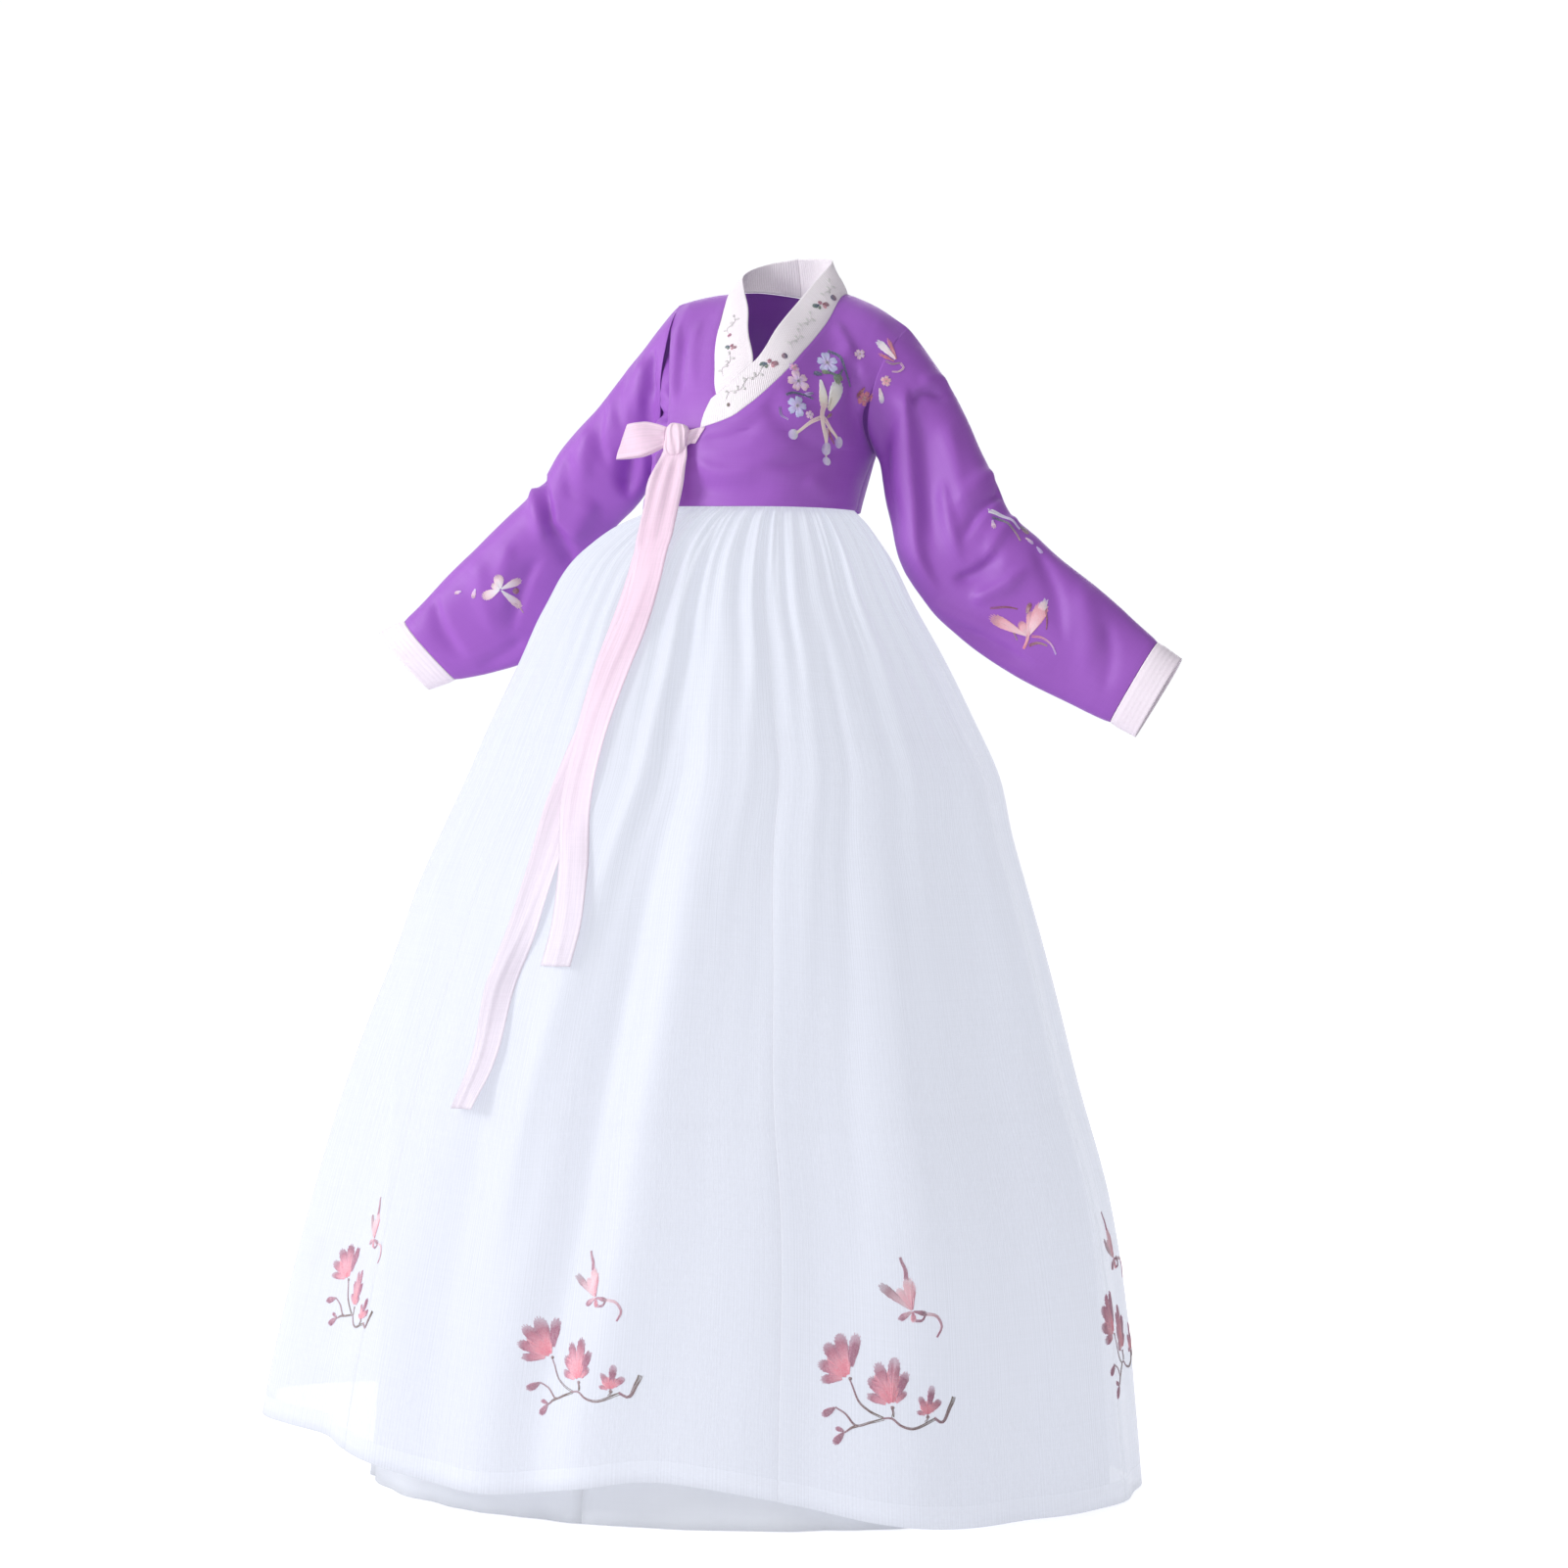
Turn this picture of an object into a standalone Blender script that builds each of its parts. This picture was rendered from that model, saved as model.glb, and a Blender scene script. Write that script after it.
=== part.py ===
"""Korean hanbok: a short crossed jacket (jeogori) with ribbon tie over a full gathered skirt (chima).

The garment keeps the hollow form it has when it is worn. Metres, +Z up, the front faces -Y and the
wearer's left is +X. The origin is on the body axis at the base of the neck, where the wearer holds it
up, so the skirt's lowest hem is at z = UNDER_HEM. Each sub-part is an open sheet, worked out from the
tables below, with its cloth thickness added inwards by Solidify.
"""

import bpy
import numpy as np

# Cloth
JACKET_WALL = 0.0018
COLLAR_WALL = 0.0020
SKIRT_WALL = 0.0016
TIE_WALL = 0.0014
SEAM = 0.0004  # gap between pieces that are sewn together
LAYER = 0.0042  # outer face of a lapped layer above the outer face of the layer under it

# Jacket body. A row parameter v runs from the hem (0) over the underarm (UNDERARM) to the shoulder line (1).
UNDERARM = 0.30
COLLAR_END = 0.385
SHOULDER_ROUND = 0.17  # how fully the cloth rounds over the shoulder line

# v, x, y, z
SIDE_LEFT = ((0.0, 0.095, -0.018, -0.259), (0.15, 0.100, -0.002, -0.226), (0.30, 0.106, 0.020, -0.189))
SIDE_RIGHT = ((0.0, -0.161, -0.022, -0.254), (0.15, -0.159, -0.008, -0.218), (0.30, -0.153, 0.012, -0.180))
ARMHOLE_LEFT_FRONT = (
    (0.30, 0.106, 0.020, -0.189),
    (0.42, 0.107, -0.010, -0.168),
    (0.58, 0.115, -0.031, -0.135),
    (0.75, 0.127, -0.033, -0.098),
    (0.90, 0.142, -0.014, -0.060),
    (1.00, 0.150, 0.012, -0.042),
)
ARMHOLE_LEFT_BACK = (
    (0.30, 0.106, 0.020, -0.189),
    (0.42, 0.110, 0.050, -0.168),
    (0.58, 0.119, 0.070, -0.135),
    (0.75, 0.130, 0.070, -0.098),
    (0.90, 0.143, 0.044, -0.060),
    (1.00, 0.150, 0.012, -0.042),
)
ARMHOLE_RIGHT_FRONT = (
    (0.30, -0.153, 0.012, -0.180),
    (0.42, -0.147, -0.020, -0.158),
    (0.58, -0.140, -0.044, -0.120),
    (0.75, -0.135, -0.047, -0.075),
    (0.90, -0.131, -0.026, -0.028),
    (1.00, -0.132, 0.000, -0.008),
)
ARMHOLE_RIGHT_BACK = (
    (0.30, -0.153, 0.012, -0.180),
    (0.42, -0.154, 0.040, -0.158),
    (0.58, -0.152, 0.058, -0.120),
    (0.75, -0.147, 0.056, -0.075),
    (0.90, -0.138, 0.030, -0.028),
    (1.00, -0.132, 0.000, -0.008),
)
# v, x, y, z of the middle of the body, and the roundness of its section (2 is an ellipse)
MIDDLE_FRONT = (
    (0.00, -0.033, -0.128, -0.257, 2.3),
    (0.20, -0.030, -0.134, -0.212, 2.3),
    (0.40, -0.022, -0.134, -0.166, 2.2),
    (0.55, -0.014, -0.126, -0.130, 2.0),
    (0.70, -0.006, -0.108, -0.094, 1.8),
    (0.85, 0.000, -0.083, -0.058, 1.5),
    (1.00, 0.003, -0.058, -0.022, 1.2),
)
MIDDLE_BACK = (
    (0.00, -0.033, 0.085, -0.257, 2.3),
    (0.20, -0.030, 0.090, -0.212, 2.3),
    (0.40, -0.026, 0.097, -0.165, 2.4),
    (0.60, -0.018, 0.099, -0.115, 2.4),
    (0.80, -0.008, 0.088, -0.055, 2.3),
    (0.95, 0.000, 0.066, 0.000, 2.0),
    (1.00, 0.002, 0.056, 0.016, 1.8),
)
# s across from the wearer's left (0) to the right (1), x, y, z along the shoulder line and over the neck
SHOULDER_FRONT = (
    (0.00, 0.150, 0.012, -0.042),
    (0.10, 0.113, 0.015, -0.019),
    (0.20, 0.074, 0.018, 0.000),
    (0.50, 0.003, -0.058, -0.022),
    (0.80, -0.070, 0.000, 0.003),
    (0.90, -0.101, 0.001, -0.001),
    (1.00, -0.132, 0.000, -0.008),
)
SHOULDER_BACK = SHOULDER_FRONT[:3] + ((0.50, 0.002, 0.058, 0.014),) + SHOULDER_FRONT[4:]

# Front edges: x, z from the hem up to the shoulder line
LEFT_EDGE = (
    (-0.093, -0.256),
    (-0.078, -0.212),
    (-0.061, -0.169),
    (-0.032, -0.160),
    (-0.003, -0.143),
    (0.027, -0.113),
    (0.047, -0.079),
    (0.064, -0.038),
    (0.074, 0.000),
)
RIGHT_EDGE = (
    (0.000, -0.256),
    (-0.010, -0.205),
    (-0.022, -0.160),
    (-0.044, -0.123),
    (-0.053, -0.087),
    (-0.062, -0.040),
    (-0.070, 0.003),
)
NECK_BACK = ((0.20, 1.000), (0.31, 0.985), (0.41, 0.965), (0.50, 0.950))  # s, v
# Free edge of the collar bands from the centre back round the neck: x, y, z, and the seam row beside it
COLLAR_LEFT_NECK = (
    (0.000, 0.054, 0.049),
    (0.033, 0.048, 0.047),
    (0.053, 0.022, 0.041),
    (0.042, -0.010, 0.014),
    (0.031, -0.039, -0.012),
)
COLLAR_RIGHT_NECK = (
    (0.000, 0.054, 0.049),
    (-0.033, 0.045, 0.043),
    (-0.053, 0.012, 0.028),
    (-0.043, -0.020, 0.006),
    (-0.030, -0.046, -0.016),
)
COLLAR_LEFT_CHEST = ((0.016, -0.049), (0.001, -0.088), (-0.016, -0.106), (-0.031, -0.121), (-0.046, -0.134))
COLLAR_RIGHT_CHEST = ((-0.016, -0.054), (-0.004, -0.084), (0.000, -0.112), (0.016, -0.138))

# Sleeves: top x, y, z, bottom x, y, z, half depth, share of the section's depth kept at the bottom edge
SLEEVE_LEFT = (
    (0.172, 0.026, -0.077, 0.114, 0.012, -0.200, 0.050, 0.50),
    (0.190, 0.036, -0.105, 0.120, 0.004, -0.224, 0.047, 0.50),
    (0.216, 0.038, -0.152, 0.127, -0.001, -0.256, 0.045, 0.50),
    (0.236, 0.034, -0.194, 0.139, -0.006, -0.296, 0.043, 0.45),
    (0.254, 0.029, -0.231, 0.154, -0.006, -0.334, 0.042, 0.45),
    (0.270, 0.029, -0.262, 0.176, -0.003, -0.368, 0.041, 0.40),
    (0.304, 0.036, -0.293, 0.208, 0.003, -0.402, 0.040, 0.40),
    (0.342, 0.043, -0.327, 0.251, 0.012, -0.436, 0.038, 0.40),
    (0.383, 0.051, -0.362, 0.304, 0.025, -0.467, 0.036, 0.45),
    (0.414, 0.056, -0.391, 0.350, 0.034, -0.490, 0.033, 0.50),
    (0.439, 0.058, -0.414, 0.386, 0.041, -0.507, 0.030, 0.55),
)
SLEEVE_RIGHT = (
    (-0.160, -0.006, -0.042, -0.166, 0.018, -0.200, 0.050, 0.50),
    (-0.184, -0.007, -0.072, -0.178, 0.022, -0.222, 0.047, 0.50),
    (-0.238, -0.004, -0.133, -0.198, 0.027, -0.246, 0.045, 0.50),
    (-0.283, -0.002, -0.180, -0.221, 0.032, -0.266, 0.042, 0.45),
    (-0.309, 0.003, -0.217, -0.240, 0.032, -0.287, 0.041, 0.45),
    (-0.350, 0.002, -0.254, -0.268, 0.031, -0.325, 0.040, 0.40),
    (-0.394, -0.002, -0.296, -0.297, 0.030, -0.372, 0.038, 0.40),
    (-0.431, -0.005, -0.331, -0.330, 0.028, -0.424, 0.036, 0.40),
    (-0.462, -0.008, -0.362, -0.378, 0.020, -0.443, 0.033, 0.50),
    (-0.482, -0.009, -0.380, -0.423, 0.010, -0.452, 0.030, 0.55),
)
# Stretches of a sleeve: the rings where each starts and ends
SLEEVE_STRETCHES = (("upper", 0, 5), ("middle", 5, 7), ("lower", 7, None))
# Cuffs: shift along the sleeve, scale of the section
CUFF = ((0.0, 1.00), (0.010, 1.00), (0.022, 0.985), (0.034, 0.97))

# Skirt
GATHERS = 48
COLUMNS_A_GATHER = 4
WIDTHS = 6
SKIRT_TOP = -0.236
UNDER_HEM = -1.400
UNDER_QUARTERS = ("front_left", "front_right", "back_right", "back_left")
# Tiers of the inner layer: the rows of each, as shares of its length
UNDER_TIERS = (
    ("upper", (0.0, 0.018, 0.045, 0.09, 0.16, 0.25)),
    ("middle", (0.25, 0.34, 0.44, 0.53, 0.62)),
    ("lower", (0.62, 0.74, 0.87, 1.0)),
)
# Direction in degrees from the left round the front, and height of the outer hem there
HEM = (
    (0, -1.400),
    (30, -1.400),
    (42, -1.397),
    (52, -1.386),
    (61, -1.368),
    (71, -1.350),
    (80, -1.341),
    (88, -1.350),
    (97, -1.362),
    (110, -1.355),
    (120, -1.338),
    (132, -1.325),
    (160, -1.318),
    (190, -1.326),
    (230, -1.345),
    (270, -1.370),
    (320, -1.392),
    (360, -1.400),
)
GATHER_DEPTH = 0.0032
# depth below the origin, reach from the axis to the left, right, front and back
SKIRT_ROWS = (
    (0.160, 0.090, 0.140, 0.112, 0.078),
    (0.236, 0.083, 0.149, 0.117, 0.072),
    (0.256, 0.087, 0.153, 0.121, 0.076),
    (0.272, 0.101, 0.190, 0.133, 0.090),
    (0.300, 0.121, 0.232, 0.154, 0.112),
    (0.370, 0.157, 0.281, 0.200, 0.160),
    (0.430, 0.191, 0.309, 0.234, 0.193),
    (0.500, 0.226, 0.343, 0.268, 0.226),
    (0.570, 0.257, 0.374, 0.294, 0.256),
    (0.640, 0.271, 0.408, 0.317, 0.281),
    (0.710, 0.289, 0.441, 0.336, 0.303),
    (0.780, 0.306, 0.466, 0.352, 0.322),
    (0.850, 0.322, 0.494, 0.366, 0.338),
    (0.920, 0.338, 0.520, 0.379, 0.353),
    (1.060, 0.377, 0.566, 0.401, 0.378),
    (1.200, 0.399, 0.606, 0.418, 0.397),
    (1.300, 0.408, 0.630, 0.426, 0.406),
    (1.400, 0.416, 0.648, 0.430, 0.412),
)
# Long folds: direction in degrees from the left round the front, half width, height (down is a trough), start depth,
# full depth, turn towards the right on the way down
FOLDS = (
    (8, 7, 0.010, 0.40, 0.90, 4),
    (24, 6, -0.012, 0.45, 1.00, -3),
    (40, 7, 0.013, 0.42, 0.95, -6),
    (56, 6, -0.009, 0.60, 1.10, -6),
    (72, 6, 0.014, 0.30, 0.80, -16),
    (80, 4, -0.014, 0.27, 0.60, -14),
    (96, 7, 0.012, 0.40, 0.90, -8),
    (108, 5, -0.011, 0.36, 0.75, 0),
    (122, 7, 0.014, 0.50, 1.00, 4),
    (136, 5, -0.012, 0.55, 1.00, 6),
    (150, 7, 0.013, 0.50, 1.05, 4),
    (166, 6, -0.011, 0.60, 1.10, 2),
    (182, 8, 0.014, 0.45, 1.00, 0),
    (200, 6, -0.012, 0.50, 0.95, -2),
    (216, 7, 0.012, 0.45, 1.05, 3),
    (233, 6, -0.013, 0.40, 0.90, 5),
    (249, 7, 0.013, 0.48, 1.00, -4),
    (267, 6, -0.012, 0.36, 0.85, 2),
    (284, 8, 0.014, 0.45, 0.95, 4),
    (302, 6, -0.012, 0.55, 1.05, -3),
    (318, 7, 0.011, 0.42, 0.90, -5),
    (334, 6, -0.012, 0.50, 1.00, 3),
    (350, 6, 0.011, 0.46, 0.95, 2),
)

# Tie. Centre of the knot, then the tails: z, x of the middle, width, lift off the cloth below
KNOT = (-0.086, -0.143, -0.178)
KNOT_SIZE = (0.016, 0.011, 0.021)  # half sizes
LOOP_REACH = 0.055
LOOP_WIDTH = 0.040
SEWN = 0.0003  # gap where ribbon is sewn or knotted to the next piece
STRAP_START = (-0.053, -0.059)  # x of the stub's two sewn rows
STRAP_HEIGHT = -0.176
TAIL_SHORT = (
    (-0.1993, -0.086, 0.024, 0.016),
    (-0.225, -0.091, 0.034, 0.015),
    (-0.262, -0.098, 0.040, 0.014),
    (-0.300, -0.104, 0.042, 0.012),
    (-0.342, -0.105, 0.042, 0.010),
    (-0.395, -0.111, 0.042, 0.009),
    (-0.455, -0.125, 0.042, 0.009),
    (-0.530, -0.141, 0.042, 0.009),
    (-0.605, -0.149, 0.042, 0.009),
    (-0.680, -0.141, 0.042, 0.009),
    (-0.737, -0.141, 0.042, 0.009),
    (-0.782, -0.150, 0.041, 0.009),
)
TAIL_LONG = (
    (-0.1993, -0.092, 0.022, 0.011),
    (-0.225, -0.100, 0.032, 0.010),
    (-0.262, -0.103, 0.038, 0.009),
    (-0.300, -0.109, 0.040, 0.007),
    (-0.342, -0.111, 0.042, 0.005),
    (-0.395, -0.118, 0.042, 0.005),
    (-0.455, -0.132, 0.042, 0.005),
    (-0.530, -0.150, 0.042, 0.005),
    (-0.605, -0.170, 0.042, 0.005),
    (-0.680, -0.187, 0.041, 0.005),
    (-0.740, -0.204, 0.040, 0.005),
    (-0.802, -0.226, 0.036, 0.005),
    (-0.883, -0.239, 0.033, 0.006),
    (-0.943, -0.260, 0.029, 0.008),
)

FRONT_ROWS = (0.0, 0.1, 0.2, 0.3, COLLAR_END, 0.42, 0.47, 0.53, 0.60, 0.67, 0.74, 0.81, 0.88, 0.94, 1.0)
BACK_ROWS = (1.0, 0.985, 0.965, 0.95, 0.90, 0.82, 0.72, 0.61, 0.50, 0.40, 0.30, 0.15, 0.0)
BODY_COLUMNS = 12


def through(table, at):
    """The table's other columns where its first column is `at`, on a smooth curve through its rows."""
    table = np.asarray(table, float)
    x, y = table[:, 0], table[:, 1:]
    slope = np.gradient(y, x, axis=0)
    at = np.clip(np.asarray(at, float), x[0], x[-1])
    i = np.clip(np.searchsorted(x, at, side="right") - 1, 0, len(x) - 2)
    h = (x[i + 1] - x[i])[..., None]
    t = (at - x[i])[..., None] / h
    return (
        (2 * t**3 - 3 * t**2 + 1) * y[i]
        + (t**3 - 2 * t**2 + t) * h * slope[i]
        + (3 * t**2 - 2 * t**3) * y[i + 1]
        + (t**3 - t**2) * h * slope[i + 1]
    )


def ease(x, low, high):
    """0 below `low`, 1 above `high`, smooth between."""
    t = np.clip((np.asarray(x, float) - low) / (high - low), 0, 1)
    return t * t * (3 - 2 * t)


def length(vectors):
    return np.linalg.norm(vectors, axis=-1, keepdims=True)


# ---------------------------------------------------------------- jacket body


def edge(side, armhole, v):
    v = np.asarray(v, float)[..., None]
    return np.where(v <= UNDERARM, through(side, v[..., 0]), through(armhole, v[..., 0]))


def body_form(s, v, back=False):
    """Point of the jacket's front or back, s across from left to right and v up."""
    s, v = np.broadcast_arrays(np.asarray(s, float), np.asarray(v, float))
    middle = through(MIDDLE_BACK if back else MIDDLE_FRONT, v)
    left = edge(SIDE_LEFT, ARMHOLE_LEFT_BACK if back else ARMHOLE_LEFT_FRONT, v)
    right = edge(SIDE_RIGHT, ARMHOLE_RIGHT_BACK if back else ARMHOLE_RIGHT_FRONT, v)

    def arch(left, right, middle, power):
        across = np.cos(np.pi * s)
        across = (np.sign(across) * np.abs(across) ** (2 / power))[..., None]
        out = (np.abs(np.sin(np.pi * s)) ** (2 / power))[..., None]
        centre = (left + right) / 2
        return centre + (left - right) / 2 * across + (middle - centre) * out

    point = arch(left, right, middle[..., :3], middle[..., 3])
    top = through(MIDDLE_BACK if back else MIDDLE_FRONT, 1.0)
    ends = through(SHOULDER_FRONT, 0.0), through(SHOULDER_FRONT, 1.0)
    line = through(SHOULDER_BACK if back else SHOULDER_FRONT, s)
    lift = (ease(v, UNDERARM, 1.0) ** 1.5)[..., None]
    point = point + lift * (line - arch(*ends, top[:3], top[3]))
    crown = SHOULDER_ROUND * (1 - v) * np.exp(-(1 - v) / 0.11) * ease(s, 0, 0.07) * ease(1 - s, 0, 0.07)
    point[..., 2] += crown
    return point


def body_normal(s, v, back=False):
    """Unit normal of the jacket's form, pointing away from the wearer."""
    step = 0.004
    s = np.clip(s, step, 1 - step)
    v = np.clip(v, step, 1 - step)
    across = body_form(s + step, v, back) - body_form(s - step, v, back)
    up = body_form(s, v + step, back) - body_form(s, v - step, back)
    normal = np.cross(across, up)
    normal /= length(normal)
    return normal if back else -normal


def place_of(x, z):
    """(s, v) of the front's point with this x and z."""
    s, v = np.meshgrid(np.linspace(0.02, 0.98, 97), np.linspace(0, 1, 101))
    points = body_form(s, v)
    nearest = np.argmin((points[..., 0] - x) ** 2 + (points[..., 2] - z) ** 2)
    found = np.array([s.flat[nearest], v.flat[nearest]])
    for _ in range(6):
        here = body_form(*found)[[0, 2]] - (x, z)
        slopes = np.stack(
            [
                (body_form(found[0] + 1e-4, found[1]) - body_form(found[0] - 1e-4, found[1]))[[0, 2]] / 2e-4,
                (body_form(found[0], found[1]) - body_form(found[0], found[1] - 1e-4))[[0, 2]] / 1e-4,
            ],
            axis=1,
        )
        found = found - np.linalg.lstsq(slopes, here, rcond=1e-3)[0]
        found = np.clip(found, (0.0, 0.0), (1.0, 1.0))
    return found


def edge_table(points):
    """Rows of v and s along a front edge that is given by its x and z."""
    places = [place_of(x, z) for x, z in points]
    places[0][1], places[-1][1] = 0.0, 1.0
    return sorted((v, s) for s, v in places)


def lapped(s, v):
    """How far the left front lies off the form: a layer where the right front is under it."""
    return LAYER * ease(s, 0.24, 0.40) * (1 - ease(v, 0.86, 0.97)) + 0.004 * ease(s, 0.35, 0.7) * (1 - ease(v, 0, 0.12))


def front_left(s, v):
    return body_form(s, v) + lapped(s, v)[..., None] * body_normal(s, v)


def body_half(left):
    """Grid of one body half: rows up the front, over the shoulder and down the back."""
    across = np.linspace(0, 1, BODY_COLUMNS)
    table = edge_table(LEFT_EDGE if left else RIGHT_EDGE)
    rows = []
    for v in FRONT_ROWS:
        inner = through(table, v)[0]
        s = across * inner if left else 1 + across * (inner - 1)
        rows.append(front_left(s, np.full_like(s, v)) if left else body_form(s, np.full_like(s, v)))
    for v in BACK_ROWS[1:]:
        inner = np.interp(-v, [-row[1] for row in NECK_BACK], [row[0] for row in NECK_BACK])
        inner = inner if left else 1 - inner
        s = across * inner if left else 1 + across * (inner - 1)
        rows.append(body_form(s, np.full_like(s, v), back=True))
    return np.array(rows)


def gap_columns(grid, first=0.0, last=0.0):
    """The grid with its first and last columns drawn back along the rows, to leave a seam's gap."""
    grid = grid.copy()
    if first:
        step = grid[:, 1] - grid[:, 0]
        grid[:, 0] += first * step / length(step)
    if last:
        step = grid[:, -2] - grid[:, -1]
        grid[:, -1] += last * step / length(step)
    return grid


def gap_rows(grid, first=0.0, last=0.0):
    return gap_columns(grid.swapaxes(0, 1), first, last).swapaxes(0, 1)


# ---------------------------------------------------------------- collar


def collar(left):
    """Grid of one collar band, rows from the centre back to the chest end, columns from the seam to the free edge."""
    half = body_half(left)
    shoulder = len(FRONT_ROWS) - 1
    end = FRONT_ROWS.index(COLLAR_END) if left else 3
    neck = half[shoulder : shoulder + 4, -1][::-1]
    seam = np.concatenate([neck, half[end:shoulder, -1][::-1]])
    run = np.concatenate([[0], np.cumsum(length(np.diff(seam, axis=0))[:, 0])])
    standing = np.array(COLLAR_LEFT_NECK if left else COLLAR_RIGHT_NECK)
    lying = []
    for x, z in COLLAR_LEFT_CHEST if left else COLLAR_RIGHT_CHEST:
        s, v = (np.array(value) for value in place_of(x, z))
        lying.append(front_left(s, v) if left else body_form(s, v))
    free = np.concatenate([standing, lying])
    free_run = np.concatenate([[0], np.cumsum(length(np.diff(free, axis=0))[:, 0])])
    free = through(np.column_stack([free_run / free_run[-1], free]), run / run[-1])
    across = np.linspace(0, 1, 5)[None, :, None]
    grid = seam[:, None] * (1 - across) + free[:, None] * across
    # The band rounds outwards a little between its edges.
    mid = np.array([0.0, 0.0, 0.0])
    out = grid.mean(axis=1) * (1, 1, 0) - mid
    out /= length(out)
    belly = 0.0025 * np.sin(np.pi * across)
    return grid + belly * out[:, None]


# ---------------------------------------------------------------- sleeves and cuffs


def armhole_loop(left):
    """Points of the armhole from the shoulder down the front to the underarm and up the back."""
    front = [v for v in FRONT_ROWS[::-1] if v >= UNDERARM]
    back = [v for v in BACK_ROWS[::-1] if UNDERARM < v < 1]
    tables = (
        (ARMHOLE_LEFT_FRONT, ARMHOLE_LEFT_BACK) if left else (ARMHOLE_RIGHT_FRONT, ARMHOLE_RIGHT_BACK)
    )
    points = np.concatenate([through(tables[0], front), through(tables[1], back)])
    turn = np.pi * (1 - (np.array(front) - UNDERARM) / (1 - UNDERARM))
    back_turn = np.pi * (1 + (np.array(back) - UNDERARM) / (1 - UNDERARM))
    return points, np.concatenate([turn, back_turn])


def sleeve(left):
    """Rings of a sleeve, from the armhole to the cuff seam."""
    table = np.array(SLEEVE_LEFT if left else SLEEVE_RIGHT)
    loop, turn = armhole_loop(left)
    top, bottom, depth, thin = table[:, :3], table[:, 3:6], table[:, 6], table[:, 7]
    middle = (top + bottom) / 2
    along = np.gradient(middle, axis=0)
    out = np.cross(along, top - bottom)
    out /= length(out)
    if out[0, 1] > 0:
        out = -out
    rings = [loop]
    for k in range(len(table)):
        down, forward = np.cos(turn)[:, None], np.sin(turn)[:, None]
        shape = 1 - (1 - thin[k]) * (1 - down) / 2 * np.abs(forward) ** 0.5
        rings.append(middle[k] + (top[k] - bottom[k]) / 2 * down + out[k] * depth[k] * forward * shape)
    return np.array(rings)


def cuff(left):
    """Rings of a cuff, carried on from the sleeve's end."""
    end = sleeve(left)[-2:]
    middle = end.mean(axis=1)
    along = middle[1] - middle[0]
    along /= np.linalg.norm(along)
    return np.array([middle[1] + (end[1] - middle[1]) * size + along * (SEAM + shift) for shift, size in CUFF])


# ---------------------------------------------------------------- skirt


def hem_height(turn):
    return through(HEM, np.degrees(turn) % 360)[..., 0]


def fold_height(turn, depth):
    """How far the long folds lift the skirt off its plain form."""
    height = np.zeros(np.broadcast(turn, depth).shape)
    for angle, half, lift, start, full, lean in FOLDS:
        down = ease(depth, start, full)
        centre = np.radians(angle - lean * np.clip((depth - start) / 1.0, 0, 1))
        away = (turn - centre + np.pi) % (2 * np.pi) - np.pi
        height = height + lift * down * np.exp(-((away / np.radians(half)) ** 2))
    return height


def gather_height(turn, depth):
    """How far the fine gathers below the band lift the skirt, in and out."""
    uneven = 1 + 0.25 * np.sin(5 * turn + 0.6) + 0.20 * np.sin(11 * turn + 2.0)
    fade = (0.65 + 0.35 * ease(depth, 0.24, 0.28)) * (1 - ease(depth, 0.30 + 0.06 * np.sin(7 * turn), 0.56))
    return GATHER_DEPTH * uneven * fade * np.cos(GATHERS * turn)


def skirt_point(turn, z, inward=0.0, folds=1.0, gathers=1.0):
    """Point of the skirt: turn runs from the wearer's left round the front, the right and the back."""
    turn, z = np.broadcast_arrays(np.asarray(turn, float), np.asarray(z, float))
    left, right, front, back = np.moveaxis(through(SKIRT_ROWS, -z), -1, 0)
    centre = np.stack([(left - right) / 2, (back - front) / 2], -1)
    half = np.stack([(left + right) / 2, (front + back) / 2], -1)
    round_ = np.stack([np.cos(turn), -np.sin(turn)], -1)
    normal = round_ / half
    normal /= length(normal)
    lift = folds * fold_height(turn, -z) + gathers * gather_height(turn, -z) - inward
    flat = centre + half * round_ + normal * lift[..., None]
    return np.concatenate([flat, z[..., None]], -1)


def skirt_front_y(x, z):
    """y of the skirt's front at this x and z, with its folds and the crests of its gathers."""
    left, right, front, back = through(SKIRT_ROWS, -z)
    cosine = np.clip((x - (left - right) / 2) / ((left + right) / 2), -0.98, 0.98)
    turn = np.arccos(cosine)
    lift = fold_height(turn, -z) + GATHER_DEPTH * (1 - ease(-z, 0.30, 0.60))
    return (back - front) / 2 - ((front + back) / 2 + lift) * np.sin(turn)


# ---------------------------------------------------------------- tie


def knot_side(rise, forward):
    """Half width of the knot at this height and depth from its middle."""
    unit = np.clip(np.asarray(rise, float) / KNOT_SIZE[2], -1, 1)
    size = np.sqrt(1 - unit**2) * knot_pinch(unit)
    deep = np.clip(forward / (KNOT_SIZE[1] * size), -1, 1)
    return KNOT_SIZE[0] * size * np.sqrt(1 - deep**2)


def knot_pinch(unit):
    """How the knot is drawn in round its middle; the height is given as a share of its half height."""
    return 1 - 0.12 * (1 - np.minimum(1.0, np.abs(unit) * 1.6))


def tail(table, start, slope):
    """Grid of a hanging ribbon end: rows down its length, from under the knot over the skirt, columns across."""
    rows = []
    for z, x, width, lift in table:
        across = x + width * np.linspace(-0.5, 0.5, 4)
        hang = KNOT[1] - start - slope * (table[0][0] - z)
        y = np.array([skirt_front_y(value, z) - lift for value in across])
        y = np.minimum(y, hang)
        rows.append(np.column_stack([across, y, np.full(4, z)]))
    return np.array(rows)


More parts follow.
